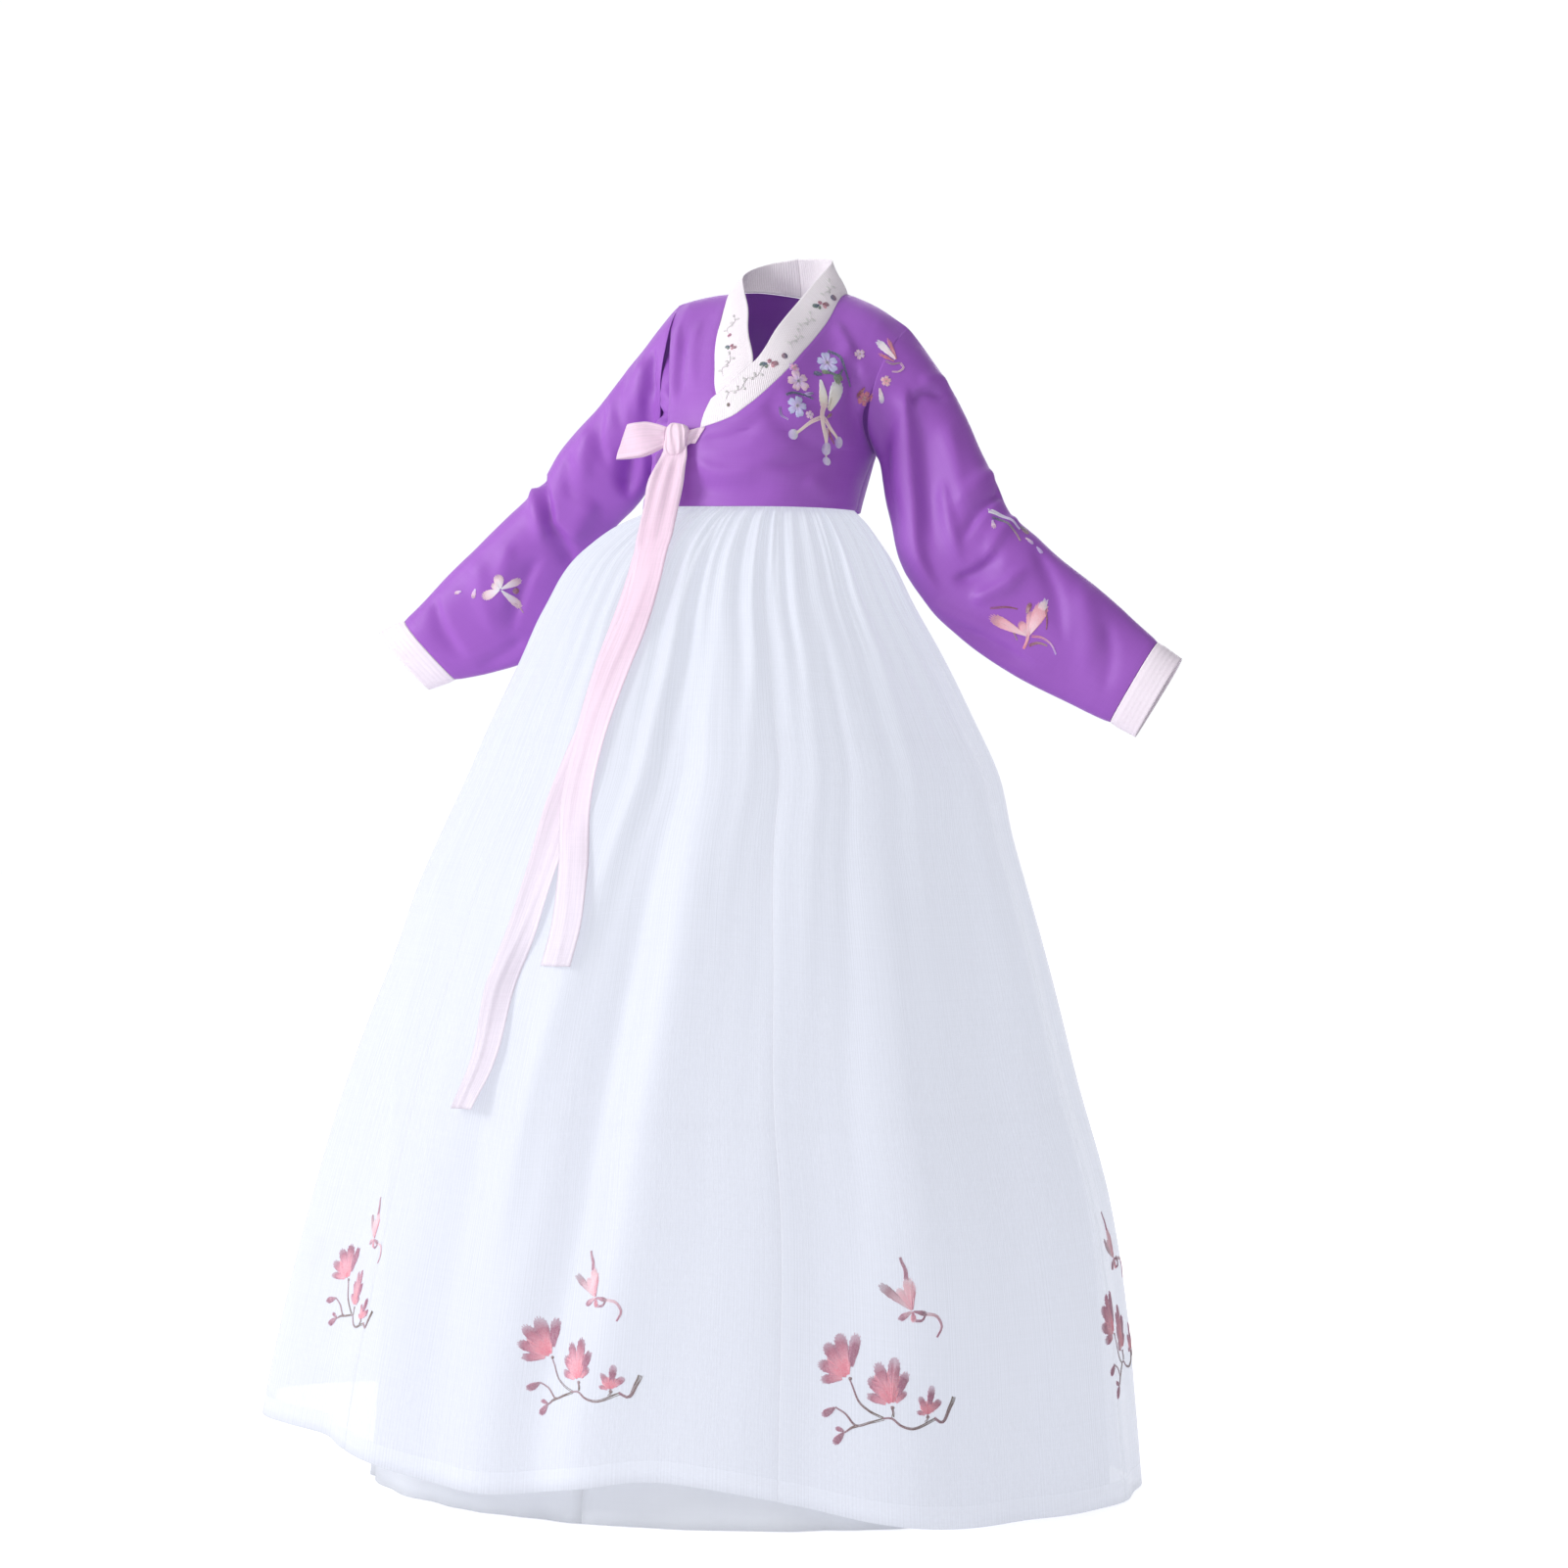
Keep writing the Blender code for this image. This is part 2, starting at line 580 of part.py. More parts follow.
def tie_loop():
    """Grid of the bow's loop: rows along the ribbon, out from the knot and back, columns across its width."""
    turn = np.radians(np.linspace(-152, 152, 15))
    wide = 1 - 0.45 * ease(np.abs(turn), 1.4, 2.7)
    across = np.linspace(-0.5, 0.5, 4)
    depth = -0.0105 * np.sin(turn) * (0.45 + 0.55 * np.cos(turn / 2)) + 0.001
    end = np.where(turn < 0, depth[0] - TIE_WALL, depth[-1] + TIE_WALL)
    rise = 0.002 + LOOP_WIDTH * wide[0] * across
    start = KNOT[0] - knot_side(rise[None], end[:, None]) - SEWN
    reach = LOOP_REACH * (np.cos(turn) - np.cos(turn[0])) / (1 - np.cos(turn[0]))
    x = start - reach[:, None]
    z = KNOT[2] + 0.002 - 0.10 * reach[:, None] + LOOP_WIDTH * wide[:, None] * across[None]
    return np.stack([x, np.broadcast_to(KNOT[1] + depth[:, None], z.shape), z], -1)


def tie_strap():
    """Grid of the ribbon stub from the collar's end, where it lies on the left front, to the knot."""
    sides = np.array((-1, -0.33, 0.33, 1))
    sewn = []
    for x in STRAP_START:
        s, v = np.array([place_of(x + 0.001 * side, STRAP_HEIGHT + 0.009 * side) for side in sides]).T
        sewn.append(front_left(s, v) + (TIE_WALL + SEWN) * body_normal(s, v))
    rise = -0.003 + 0.010 * sides
    end = np.column_stack([KNOT[0] + knot_side(rise, 0.0) + SEWN, np.full(4, KNOT[1] + 0.001), KNOT[2] + rise])
    between = [sewn[-1] + (end - sewn[-1]) * t + np.array([0, -0.0025, 0]) * np.sin(np.pi * t) for t in (0.35, 0.7)]
    return np.array(sewn + between + [end])


# ---------------------------------------------------------------- objects


def material(name, colour, roughness):
    made = bpy.data.materials.get(name) or bpy.data.materials.new(name)
    made.use_nodes = True
    shader = made.node_tree.nodes["Principled BSDF"]
    shader.inputs["Base Color"].default_value = (*colour, 1.0)
    shader.inputs["Roughness"].default_value = roughness
    shader.inputs["Metallic"].default_value = 0.0
    return made


def sheet(collection, name, points, faces, wall, finish):
    """An open surface with its thickness added on the inside."""
    mesh = bpy.data.meshes.new(name)
    mesh.from_pydata([tuple(point) for point in points], [], faces)
    mesh.update()
    mesh.shade_smooth()
    mesh.materials.append(material(name, *finish))
    obj = bpy.data.objects.new(name, mesh)
    collection.objects.link(obj)
    thicken = obj.modifiers.new("cloth", "SOLIDIFY")
    thicken.thickness = wall
    thicken.offset = -1
    thicken.use_rim = True
    thicken.use_quality_normals = True
    return obj


def grid_faces(rows, columns, closed=False, turned=False):
    faces = []
    for j in range(rows - 1):
        for i in range(columns if closed else columns - 1):
            k = (i + 1) % columns
            face = (j * columns + i, j * columns + k, (j + 1) * columns + k, (j + 1) * columns + i)
            faces.append(face[::-1] if turned else face)
    return faces


def faces_out(grid, centre):
    """Whether the grid's faces point away from this centre line (one point a row)."""
    rows, columns = grid.shape[:2]
    across = grid[:-1, 1:] - grid[:-1, :-1]
    down = grid[1:, :-1] - grid[:-1, :-1]
    normal = np.cross(across, down)
    outwards = grid[:-1, :-1] - centre[:-1, None]
    return (normal * outwards).sum() > 0


def cloth(collection, name, grid, wall, finish, centre=None, closed=False):
    rows, columns = grid.shape[:2]
    if centre is None:
        centre = np.column_stack([np.zeros(rows), np.zeros(rows), grid[:, :, 2].mean(axis=1)])
    turned = not faces_out(grid, np.asarray(centre))
    faces = grid_faces(rows, columns, closed, turned)
    return sheet(collection, name, grid.reshape(-1, 3), faces, wall, finish)


def skirt_width(collection, number, finish):
    """One width of the outer skirt: fine columns over the gathers, half as many below them."""
    fine = GATHERS * COLUMNS_A_GATHER // WIDTHS
    first = number * fine + COLUMNS_A_GATHER // 2
    turns = 2 * np.pi * (first + np.arange(fine + 1)) / (GATHERS * COLUMNS_A_GATHER)
    upper = (0.0, 0.017, 0.034, 0.062, 0.105, 0.165, 0.235)
    lower = (0.32, 0.43, 0.55, 0.69, 0.84, 1.0)
    points, starts = [], []
    for share in upper + lower:
        turn = turns if share in upper else turns[::2]
        z = SKIRT_TOP + share * (hem_height(turn) - SKIRT_TOP)
        row = skirt_point(turn, z)
        row = gap_columns(row[None], SEAM, SEAM)[0]
        starts.append(len(points))
        points.extend(row)
    faces = []
    for j in range(len(starts) - 1):
        a, b = starts[j], starts[j + 1]
        if j < len(upper) - 1:
            faces += [(a + i, b + i, b + i + 1, a + i + 1) for i in range(fine)]
        elif j == len(upper) - 1:
            for i in range(fine // 2):
                faces.append((a + 2 * i, b + i, a + 2 * i + 1))
                faces.append((a + 2 * i + 1, b + i, b + i + 1))
                faces.append((a + 2 * i + 1, b + i + 1, a + 2 * i + 2))
        else:
            faces += [(a + i, b + i, b + i + 1, a + i + 1) for i in range(fine // 2)]
    faces = [face[::-1] for face in faces]
    return sheet(collection, f"skirt_width_{number + 1}", points, faces, SKIRT_WALL, finish)


def underskirt(shares, quarter):
    """Grid of one panel of a tier of the inner layer, which hangs smoothly inside the outer one."""
    turn = np.linspace(0, np.pi / 2, 9) + quarter * np.pi / 2
    rows = []
    for share in shares:
        z = SKIRT_TOP + share * (UNDER_HEM - SKIRT_TOP)
        spread = ((1 - np.cos(turn)) / 2) ** 2
        inward = 0.0085 + 0.0095 * ease(share, 0.01, 0.2) + 0.010 * ease(share, 0.6, 1.0)
        inward = inward + 0.12 * spread * ease(share, 0.35, 1.0)
        rows.append(skirt_point(turn, np.full_like(turn, z), inward, folds=0.0, gathers=0.0))
    first, last = (0.0 if shares[0] == 0 else SEAM), (0.0 if shares[-1] == 1 else SEAM)
    return gap_rows(gap_columns(np.array(rows), SEAM, SEAM), first, last)


def skirt_band():
    """Rings of the chest band above the gathers."""
    turn = np.linspace(0, 2 * np.pi, 33)[:-1]
    return np.array(
        [skirt_point(turn, np.full_like(turn, z), 0.004, 0.0, 0.0) for z in (-0.165, -0.200, SKIRT_TOP + 0.0008)]
    )


def tie_knot(collection, finish):
    bpy.ops.mesh.primitive_uv_sphere_add(segments=20, ring_count=12, radius=1.0, location=KNOT)
    knot = bpy.context.object
    for vertex in knot.data.vertices:
        x, y, z = vertex.co
        pinch = knot_pinch(z)
        vertex.co = (x * KNOT_SIZE[0] * pinch, y * KNOT_SIZE[1] * pinch, z * KNOT_SIZE[2])
    knot.data.shade_smooth()
    knot.name = knot.data.name = "tie_knot"
    knot.data.materials.append(material("tie_knot", *finish))
    for old in list(knot.users_collection):
        old.objects.unlink(knot)
    collection.objects.link(knot)


VIOLET = ((0.300, 0.098, 0.545), 0.42)
WHITE = ((0.86, 0.86, 0.90), 0.60)
PINK = ((0.93, 0.77, 0.86), 0.50)
CUFF_WHITE = ((0.90, 0.84, 0.88), 0.55)


def build():
    for obj in list(bpy.data.objects):
        bpy.data.objects.remove(obj, do_unlink=True)
    garment = bpy.data.collections.new("korean_hanbok")
    bpy.context.scene.collection.children.link(garment)

    for left, side in ((True, "left"), (False, "right")):
        half = gap_columns(body_half(left), SEAM, SEAM)
        cloth(garment, f"jacket_{side}", half, JACKET_WALL, VIOLET)

        rings = gap_rows(sleeve(left), first=0.0020)
        for stretch, start, end in SLEEVE_STRETCHES:
            last = None if end is None else end + 1
            tube = gap_rows(rings[start:last], first=SEAM if start else 0.0, last=SEAM if end else 0.0)
            middle = tube.mean(axis=1)
            cloth(garment, f"sleeve_{stretch}_{side}", tube, JACKET_WALL, VIOLET, middle, closed=True)

        band = cuff(left)
        cloth(garment, f"cuff_{side}", band, COLLAR_WALL, CUFF_WHITE, band.mean(axis=1), closed=True)

        strip = gap_rows(gap_columns(collar(left), first=SEAM), first=2.5 * SEAM)
        cloth(garment, f"collar_{side}", strip, COLLAR_WALL, CUFF_WHITE)

    for number in range(WIDTHS):
        skirt_width(garment, number, WHITE)
    for tier, shares in UNDER_TIERS:
        for quarter, place in enumerate(UNDER_QUARTERS):
            cloth(garment, f"underskirt_{tier}_{place}", underskirt(shares, quarter), SKIRT_WALL, WHITE)
    band = skirt_band()
    cloth(garment, "skirt_band", band, JACKET_WALL, WHITE, band.mean(axis=1), closed=True)

    before = np.array([KNOT[0], 0.5, KNOT[2]])
    tie_knot(garment, PINK)
    for name, grid in (
        ("tie_strap", tie_strap()),
        ("tie_tail_short", tail(TAIL_SHORT, 0.0032, 0.17)),
        ("tie_tail_long", tail(TAIL_LONG, 0.0015, 0.13)),
    ):
        cloth(garment, name, grid, TIE_WALL, PINK, np.tile(before, (len(grid), 1)))
    loop = tie_loop()
    inside = np.tile([loop[:, :, 0].mean(), KNOT[1], KNOT[2]], (len(loop), 1))
    cloth(garment, "tie_loop", loop, TIE_WALL, PINK, inside)


build()
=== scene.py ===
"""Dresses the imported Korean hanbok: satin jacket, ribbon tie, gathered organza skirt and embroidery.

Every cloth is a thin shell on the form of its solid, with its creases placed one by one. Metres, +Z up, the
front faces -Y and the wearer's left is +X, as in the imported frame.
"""

from __future__ import annotations

import logging
from dataclasses import dataclass, field, replace
from enum import Enum
from typing import Any, Sequence

import bpy
import numpy as np
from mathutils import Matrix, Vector, noise
from mathutils.bvhtree import BVHTree

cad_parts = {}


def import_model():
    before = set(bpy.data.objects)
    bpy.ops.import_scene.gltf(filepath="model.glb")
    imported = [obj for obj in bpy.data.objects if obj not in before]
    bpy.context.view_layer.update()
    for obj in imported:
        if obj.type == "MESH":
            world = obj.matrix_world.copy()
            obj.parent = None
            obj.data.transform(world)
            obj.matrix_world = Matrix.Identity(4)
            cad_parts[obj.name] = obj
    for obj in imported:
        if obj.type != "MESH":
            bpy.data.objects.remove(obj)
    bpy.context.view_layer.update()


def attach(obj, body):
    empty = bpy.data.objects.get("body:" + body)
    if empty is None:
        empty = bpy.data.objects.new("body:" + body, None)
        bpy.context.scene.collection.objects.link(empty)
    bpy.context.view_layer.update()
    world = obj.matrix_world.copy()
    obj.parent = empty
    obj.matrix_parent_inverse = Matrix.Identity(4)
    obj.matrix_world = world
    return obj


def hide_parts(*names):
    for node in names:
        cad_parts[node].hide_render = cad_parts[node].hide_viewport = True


LOG = logging.getLogger("hanbok")
Colour = tuple[float, float, float]


class Side(Enum):
    """Which side of the wearer a crease lies on."""

    FRONT = -1
    BACK = 1


class Held(Enum):
    """How a sheet of cloth is held, in the frame's own words."""

    DRAPED = "draped"
    HUNG = "hung"
    GATHERED = "gathered"
    FOLDED = "folded"


# ---------------------------------------------------------------- numbers


def through(table: Any, at: Any) -> np.ndarray:
    """Reads a table on a smooth curve through its rows.

    Args:
        table: rows whose first column rises.
        at: where the first column is read.

    Returns:
        The other columns there.
    """
    table = np.asarray(table, float)
    x, y = table[:, 0], table[:, 1:]
    slope = np.gradient(y, x, axis=0)
    at = np.clip(np.asarray(at, float), x[0], x[-1])
    i = np.clip(np.searchsorted(x, at, side="right") - 1, 0, len(x) - 2)
    h = (x[i + 1] - x[i])[..., None]
    t = (at - x[i])[..., None] / h
    return (
        (2 * t**3 - 3 * t**2 + 1) * y[i]
        + (t**3 - 2 * t**2 + t) * h * slope[i]
        + (3 * t**2 - 2 * t**3) * y[i + 1]
        + (t**3 - t**2) * h * slope[i + 1]
    )


def milli(*rows: Sequence[float]) -> tuple:
    """A table whose rows are written in thousandths."""
    return tuple(tuple(value / 1000 for value in row) for row in rows)


def ease(x: Any, low: float, high: float) -> np.ndarray:
    """0 below `low`, 1 above `high`, smooth between."""
    t = np.clip((np.asarray(x, float) - low) / (high - low), 0, 1)
    return t * t * (3 - 2 * t)


def unit(vectors: np.ndarray) -> np.ndarray:
    """The vectors at length 1."""
    return vectors / np.maximum(np.linalg.norm(vectors, axis=-1, keepdims=True), 1e-12)


def shares(count: int, edge: float = 0.02) -> np.ndarray:
    """Shares from 0 to 1, with two more close to each end for the seam's groove."""
    inner = np.linspace(edge, 1 - edge, count - 6)
    return np.concatenate([[0, edge * 0.2, edge * 0.5], inner, [1 - edge * 0.5, 1 - edge * 0.2, 1]])


def run_of(points: np.ndarray) -> np.ndarray:
    """Distance run along a line of points."""
    return np.concatenate([[0], np.cumsum(np.linalg.norm(np.diff(points, axis=0), axis=1))])


def roughly(points: np.ndarray, size: float, seed: float) -> np.ndarray:
    """Smooth unevenness in space, about -1 to 1.

    Args:
        points: places it is read at.
        size: distance over which it changes, in metres.
        seed: shifts it to another place.

    Returns:
        One value for each point.
    """
    flat = points.reshape(-1, 3) / size + seed
    return np.array([noise.noise(Vector(p)) for p in flat]).reshape(points.shape[:-1])


# ---------------------------------------------------------------- forms of the garment


@dataclass(frozen=True)
class JacketForm:
    """The jacket body.

    v is a share of the way from the hem (0) over the underarm to the shoulder line (1), and s a share of the
    way across, from the wearer's left (0) to the right (1). Every value in a `milli` table is in thousandths.
    """

    underarm: float = 0.30
    collar_end: float = 0.385
    layer: float = 0.0042
    shoulder_round: float = 0.17
    # edges of a half: v, x, y, z
    side_left: tuple = milli((0, 95, -18, -259), (150, 100, -2, -226), (300, 106, 20, -189))
    side_right: tuple = milli((0, -161, -22, -254), (150, -159, -8, -218), (300, -153, 12, -180))
    armhole_left_front: tuple = milli(
        (300, 106, 20, -189), (420, 107, -10, -168), (580, 115, -31, -135), (750, 127, -33, -98),
        (900, 142, -14, -60), (1000, 150, 12, -42),
    )
    armhole_left_back: tuple = milli(
        (300, 106, 20, -189), (420, 110, 50, -168), (580, 119, 70, -135), (750, 130, 70, -98),
        (900, 143, 44, -60), (1000, 150, 12, -42),
    )
    armhole_right_front: tuple = milli(
        (300, -153, 12, -180), (420, -147, -20, -158), (580, -140, -44, -120), (750, -135, -47, -75),
        (900, -131, -26, -28), (1000, -132, 0, -8),
    )
    armhole_right_back: tuple = milli(
        (300, -153, 12, -180), (420, -154, 40, -158), (580, -152, 58, -120), (750, -147, 56, -75),
        (900, -138, 30, -28), (1000, -132, 0, -8),
    )
    # v, x, y, z of the middle of the body, and the roundness of its section
    middle_front: tuple = milli(
        (0, -33, -128, -257, 2300), (200, -30, -134, -212, 2300), (400, -22, -134, -166, 2200),
        (550, -14, -126, -130, 2000), (700, -6, -108, -94, 1800), (850, 0, -83, -58, 1500),
        (1000, 3, -58, -22, 1200),
    )
    middle_back: tuple = milli(
        (0, -33, 85, -257, 2300), (200, -30, 90, -212, 2300), (400, -26, 97, -165, 2400),
        (600, -18, 99, -115, 2400), (800, -8, 88, -55, 2300), (950, 0, 66, 0, 2000),
        (1000, 2, 56, 16, 1800),
    )
    # s, x, y, z along the shoulder line and over the neck
    shoulder_front: tuple = milli(
        (0, 150, 12, -42), (100, 113, 15, -19), (200, 74, 18, 0), (500, 3, -58, -22), (800, -70, 0, 3),
        (900, -101, 1, -1), (1000, -132, 0, -8),
    )
    shoulder_back_middle: tuple = (0.50, 0.002, 0.058, 0.014)
    # front edges, from the hem up to the shoulder line: x, z
    left_edge: tuple = milli(
        (-93, -256), (-78, -212), (-61, -169), (-32, -160), (-3, -143), (27, -113), (47, -79), (64, -38),
        (74, 0),
    )
    right_edge: tuple = milli(
        (0, -256), (-10, -205), (-22, -160), (-44, -123), (-53, -87), (-62, -40), (-70, 3),
    )
    neck_back: tuple = milli((200, 1000), (310, 985), (410, 965), (500, 950))  # s, v
    # free edges of the collar bands: x, y, z round the neck, then x, z on the chest
    left_neck: tuple = milli((0, 54, 49), (33, 48, 47), (53, 22, 41), (42, -10, 14), (31, -39, -12))
    right_neck: tuple = milli((0, 54, 49), (-33, 45, 43), (-53, 12, 28), (-43, -20, 6), (-30, -46, -16))
    left_chest: tuple = milli((16, -49), (1, -88), (-16, -106), (-31, -121), (-46, -134))
    right_chest: tuple = milli((-16, -54), (-4, -84), (0, -112), (16, -138))

    def armhole(self, left: bool, back: bool) -> tuple:
        """The armhole's table on one side."""
        if left:
            return self.armhole_left_back if back else self.armhole_left_front
        return self.armhole_right_back if back else self.armhole_right_front

    def edge(self, left: bool, back: bool, v: np.ndarray) -> np.ndarray:
        """Points of the side edge, below and above the underarm."""
        low = through(self.side_left if left else self.side_right, v)
        return np.where(v[..., None] <= self.underarm, low, through(self.armhole(left, back), v))

    def body(self, s: Any, v: Any, back: bool = False) -> np.ndarray:
        """Finds points of the jacket's plain form.

        Args:
            s: share across, from the wearer's left to the right.
            v: share up the body.
            back: whether they are on the back.

        Returns:
            The points.
        """
        s, v = np.broadcast_arrays(np.asarray(s, float), np.asarray(v, float))
        table = self.middle_back if back else self.middle_front
        middle = through(table, v)

        def arch(left: np.ndarray, right: np.ndarray, mid: np.ndarray, power: np.ndarray) -> np.ndarray:
            """Points of a rounded section through both sides and the middle."""
            across = np.cos(np.pi * s)
            across = (np.sign(across) * np.abs(across) ** (2 / power))[..., None]
            out = (np.abs(np.sin(np.pi * s)) ** (2 / power))[..., None]
            centre = (left + right) / 2
            return centre + (left - right) / 2 * across + (mid - centre) * out

        point = arch(self.edge(True, back, v), self.edge(False, back, v), middle[..., :3], middle[..., 3])
        line = self.shoulder_front
        if back:
            line = line[:3] + (self.shoulder_back_middle,) + line[4:]
        top = through(table, 1.0)
        ends = through(self.shoulder_front, 0.0), through(self.shoulder_front, 1.0)
        lift = (ease(v, self.underarm, 1.0) ** 1.5)[..., None]
        point = point + lift * (through(line, s) - arch(*ends, top[:3], top[3]))
        sides = ease(s, 0, 0.07) * ease(1 - s, 0, 0.07)
        point[..., 2] += self.shoulder_round * (1 - v) * np.exp(-(1 - v) / 0.11) * sides
        return point

    def normal(self, s: np.ndarray, v: np.ndarray, back: bool = False) -> np.ndarray:
        """Unit normals of the form, pointing away from the wearer."""
        step = 0.004
        s, v = np.clip(s, step, 1 - step), np.clip(v, step, 1 - step)
        across = self.body(s + step, v, back) - self.body(s - step, v, back)
        up = self.body(s, v + step, back) - self.body(s, v - step, back)
        return unit(np.cross(across, up)) * (1 if back else -1)

    def place_of(self, x: float, z: float) -> np.ndarray:
        """(s, v) of the front's point with this x and z."""
        s, v = np.meshgrid(np.linspace(0.02, 0.98, 97), np.linspace(0, 1, 101))
        points = self.body(s, v)
        nearest = np.argmin((points[..., 0] - x) ** 2 + (points[..., 2] - z) ** 2)
        found = np.array([s.flat[nearest], v.flat[nearest]])
        small = 1e-4

        def seen(s: float, v: float) -> np.ndarray:
            """x and z of a point of the front."""
            return self.body(s, v)[[0, 2]]

        for _ in range(6):
            here = seen(*found)
            across = seen(found[0] + small, found[1]) - seen(found[0] - small, found[1])
            up = here - seen(found[0], found[1] - small)
            slopes = np.stack([across / (2 * small), up / small], axis=1)
            found = np.clip(found - np.linalg.lstsq(slopes, here - (x, z), rcond=1e-3)[0], 0.0, 1.0)
        return found

    def front_left(self, s: np.ndarray, v: np.ndarray) -> np.ndarray:
        """Points of the left front, which lies a layer above the form where it laps over the right."""
        off = self.layer * ease(s, 0.24, 0.40) * (1 - ease(v, 0.86, 0.97))
        off = off + 0.004 * ease(s, 0.35, 0.7) * (1 - ease(v, 0, 0.12))
        return self.body(s, v) + off[..., None] * self.normal(s, v)

    def half(self, left: bool, rows: int, columns: int) -> tuple[np.ndarray, np.ndarray, int]:
        """Lays out one body half, up the front, over the shoulder and down the back.

        Args:
            left: whether it is the wearer's left half.
            rows: rows up the front and again down the back.
            columns: points in a row.

        Returns:
            The grid, v of each row, and the index of the shoulder row.
        """
        places = [self.place_of(x, z) for x, z in (self.left_edge if left else self.right_edge)]
        places[0][1], places[-1][1] = 0.0, 1.0
        table = sorted((v, s) for s, v in places)
        across = shares(columns)
        up = np.unique(np.concatenate([shares(rows, 0.03), [self.collar_end, self.underarm]]))
        grid = []
        for v in up:
            inner = through(table, v)[0]
            s = across * inner if left else 1 + across * (inner - 1)
            flat = np.full_like(s, v)
            grid.append(self.front_left(s, flat) if left else self.body(s, flat))
        neck = np.linspace(1.0, 0.95, 13)[1:]
        down = np.concatenate([neck, np.linspace(0.94, 0.0, rows - 8)])
        for v in down:
            inner = np.interp(-v, [-row[1] for row in self.neck_back], [row[0] for row in self.neck_back])
            inner = inner if left else 1 - inner
            s = across * inner if left else 1 + across * (inner - 1)
            grid.append(self.body(s, np.full_like(s, v), back=True))
        return np.array(grid), np.concatenate([up, down]), len(up) - 1

    def collar(self, left: bool, half: np.ndarray, v: np.ndarray, shoulder: int) -> np.ndarray:
        """Lays out a collar band from the centre back to its chest end.

        Args:
            left: whether it is the wearer's left band.
            half: the body half that it is sewn to, from `half`.
            v: the half's rows.
            shoulder: the half's shoulder row.

        Returns:
            The grid, columns from the seam to the free edge.
        """
        end = int(np.searchsorted(v[: shoulder + 1], self.collar_end if left else self.underarm))
        seam = np.concatenate([half[shoulder : shoulder + 13, -1][::-1], half[end:shoulder, -1][::-1]])
        run = run_of(seam)
        lying = []
        for x, z in self.left_chest if left else self.right_chest:
            s, height = (np.array(value) for value in self.place_of(x, z))
            lying.append(self.front_left(s, height) if left else self.body(s, height))
        free = np.concatenate([np.array(self.left_neck if left else self.right_neck), lying])
        free_run = run_of(free)
        even = np.linspace(0, 1, 150)
        free = through(np.column_stack([free_run / free_run[-1], free]), even)
        seam = through(np.column_stack([run / run[-1], seam]), even)
        across = np.linspace(0, 1, 25)[None, :, None]
        grid = seam[:, None] * (1 - across) + free[:, None] * across
        out = unit(grid.mean(axis=1) * (1, 1, 0))
        return grid + 0.0025 * np.sin(np.pi * across) * out[:, None]


@dataclass(frozen=True)
class SleeveForm:
    """A sleeve: the armhole's loop, then rings given by their top and bottom."""

    left: bool
    # top x, y, z, bottom x, y, z, half depth, share of the depth kept at the bottom edge
    rings: tuple
    cuff_rings: tuple = ((0.0, 1.00), (0.010, 1.00), (0.022, 0.985), (0.034, 0.97))  # shift, scale

    def sections(self, jacket: JacketForm, turn: np.ndarray) -> np.ndarray:
        """Rings at these turns, from the top (0) over the front to the bottom (pi) and up the back."""
        v = jacket.underarm + (1 - jacket.underarm) * np.abs(1 - turn / np.pi)
        front, back = (through(jacket.armhole(self.left, behind), v) for behind in (False, True))
        found = [np.where((turn <= np.pi)[:, None], front, back)]
        table = np.array(self.rings)
        top, bottom, depth, thin = table[:, :3], table[:, 3:6], table[:, 6], table[:, 7]
        middle = (top + bottom) / 2
        out = unit(np.cross(np.gradient(middle, axis=0), top - bottom))
        if out[0, 1] > 0:
            out = -out
        down, forward = np.cos(turn)[:, None], np.sin(turn)[:, None]
        for k in range(len(table)):
            shape = 1 - (1 - thin[k]) * (1 - down) / 2 * np.abs(forward) ** 0.5
            found.append(middle[k] + (top[k] - bottom[k]) / 2 * down + out[k] * depth[k] * forward * shape)
        return np.array(found)

    def grid(self, jacket: JacketForm, rows: int, columns: int) -> np.ndarray:
        """Smooth rings from the armhole to the cuff's seam."""
        turn = np.linspace(0, 2 * np.pi, columns, endpoint=False)
        found = self.sections(jacket, turn)
        run = run_of(found.mean(axis=1))
        table = np.column_stack([run / run[-1], found.reshape(len(found), -1)])
        return through(table, shares(rows, 0.012)).reshape(rows, columns, 3)

    def cuff(self, end: np.ndarray, rows: int) -> np.ndarray:
        """Rings of the cuff, carried on from the sleeve's last two rings."""
        middle = end.mean(axis=1)
        along = unit(middle[1] - middle[0])
        table = np.array(self.cuff_rings)
        at = np.linspace(0, table[-1, 0], rows)
        scale = np.interp(at, table[:, 0], table[:, 1])
        gap = 0.0004
        return np.array([middle[1] + (end[1] - middle[1]) * k + along * (gap + a) for a, k in zip(at, scale)])


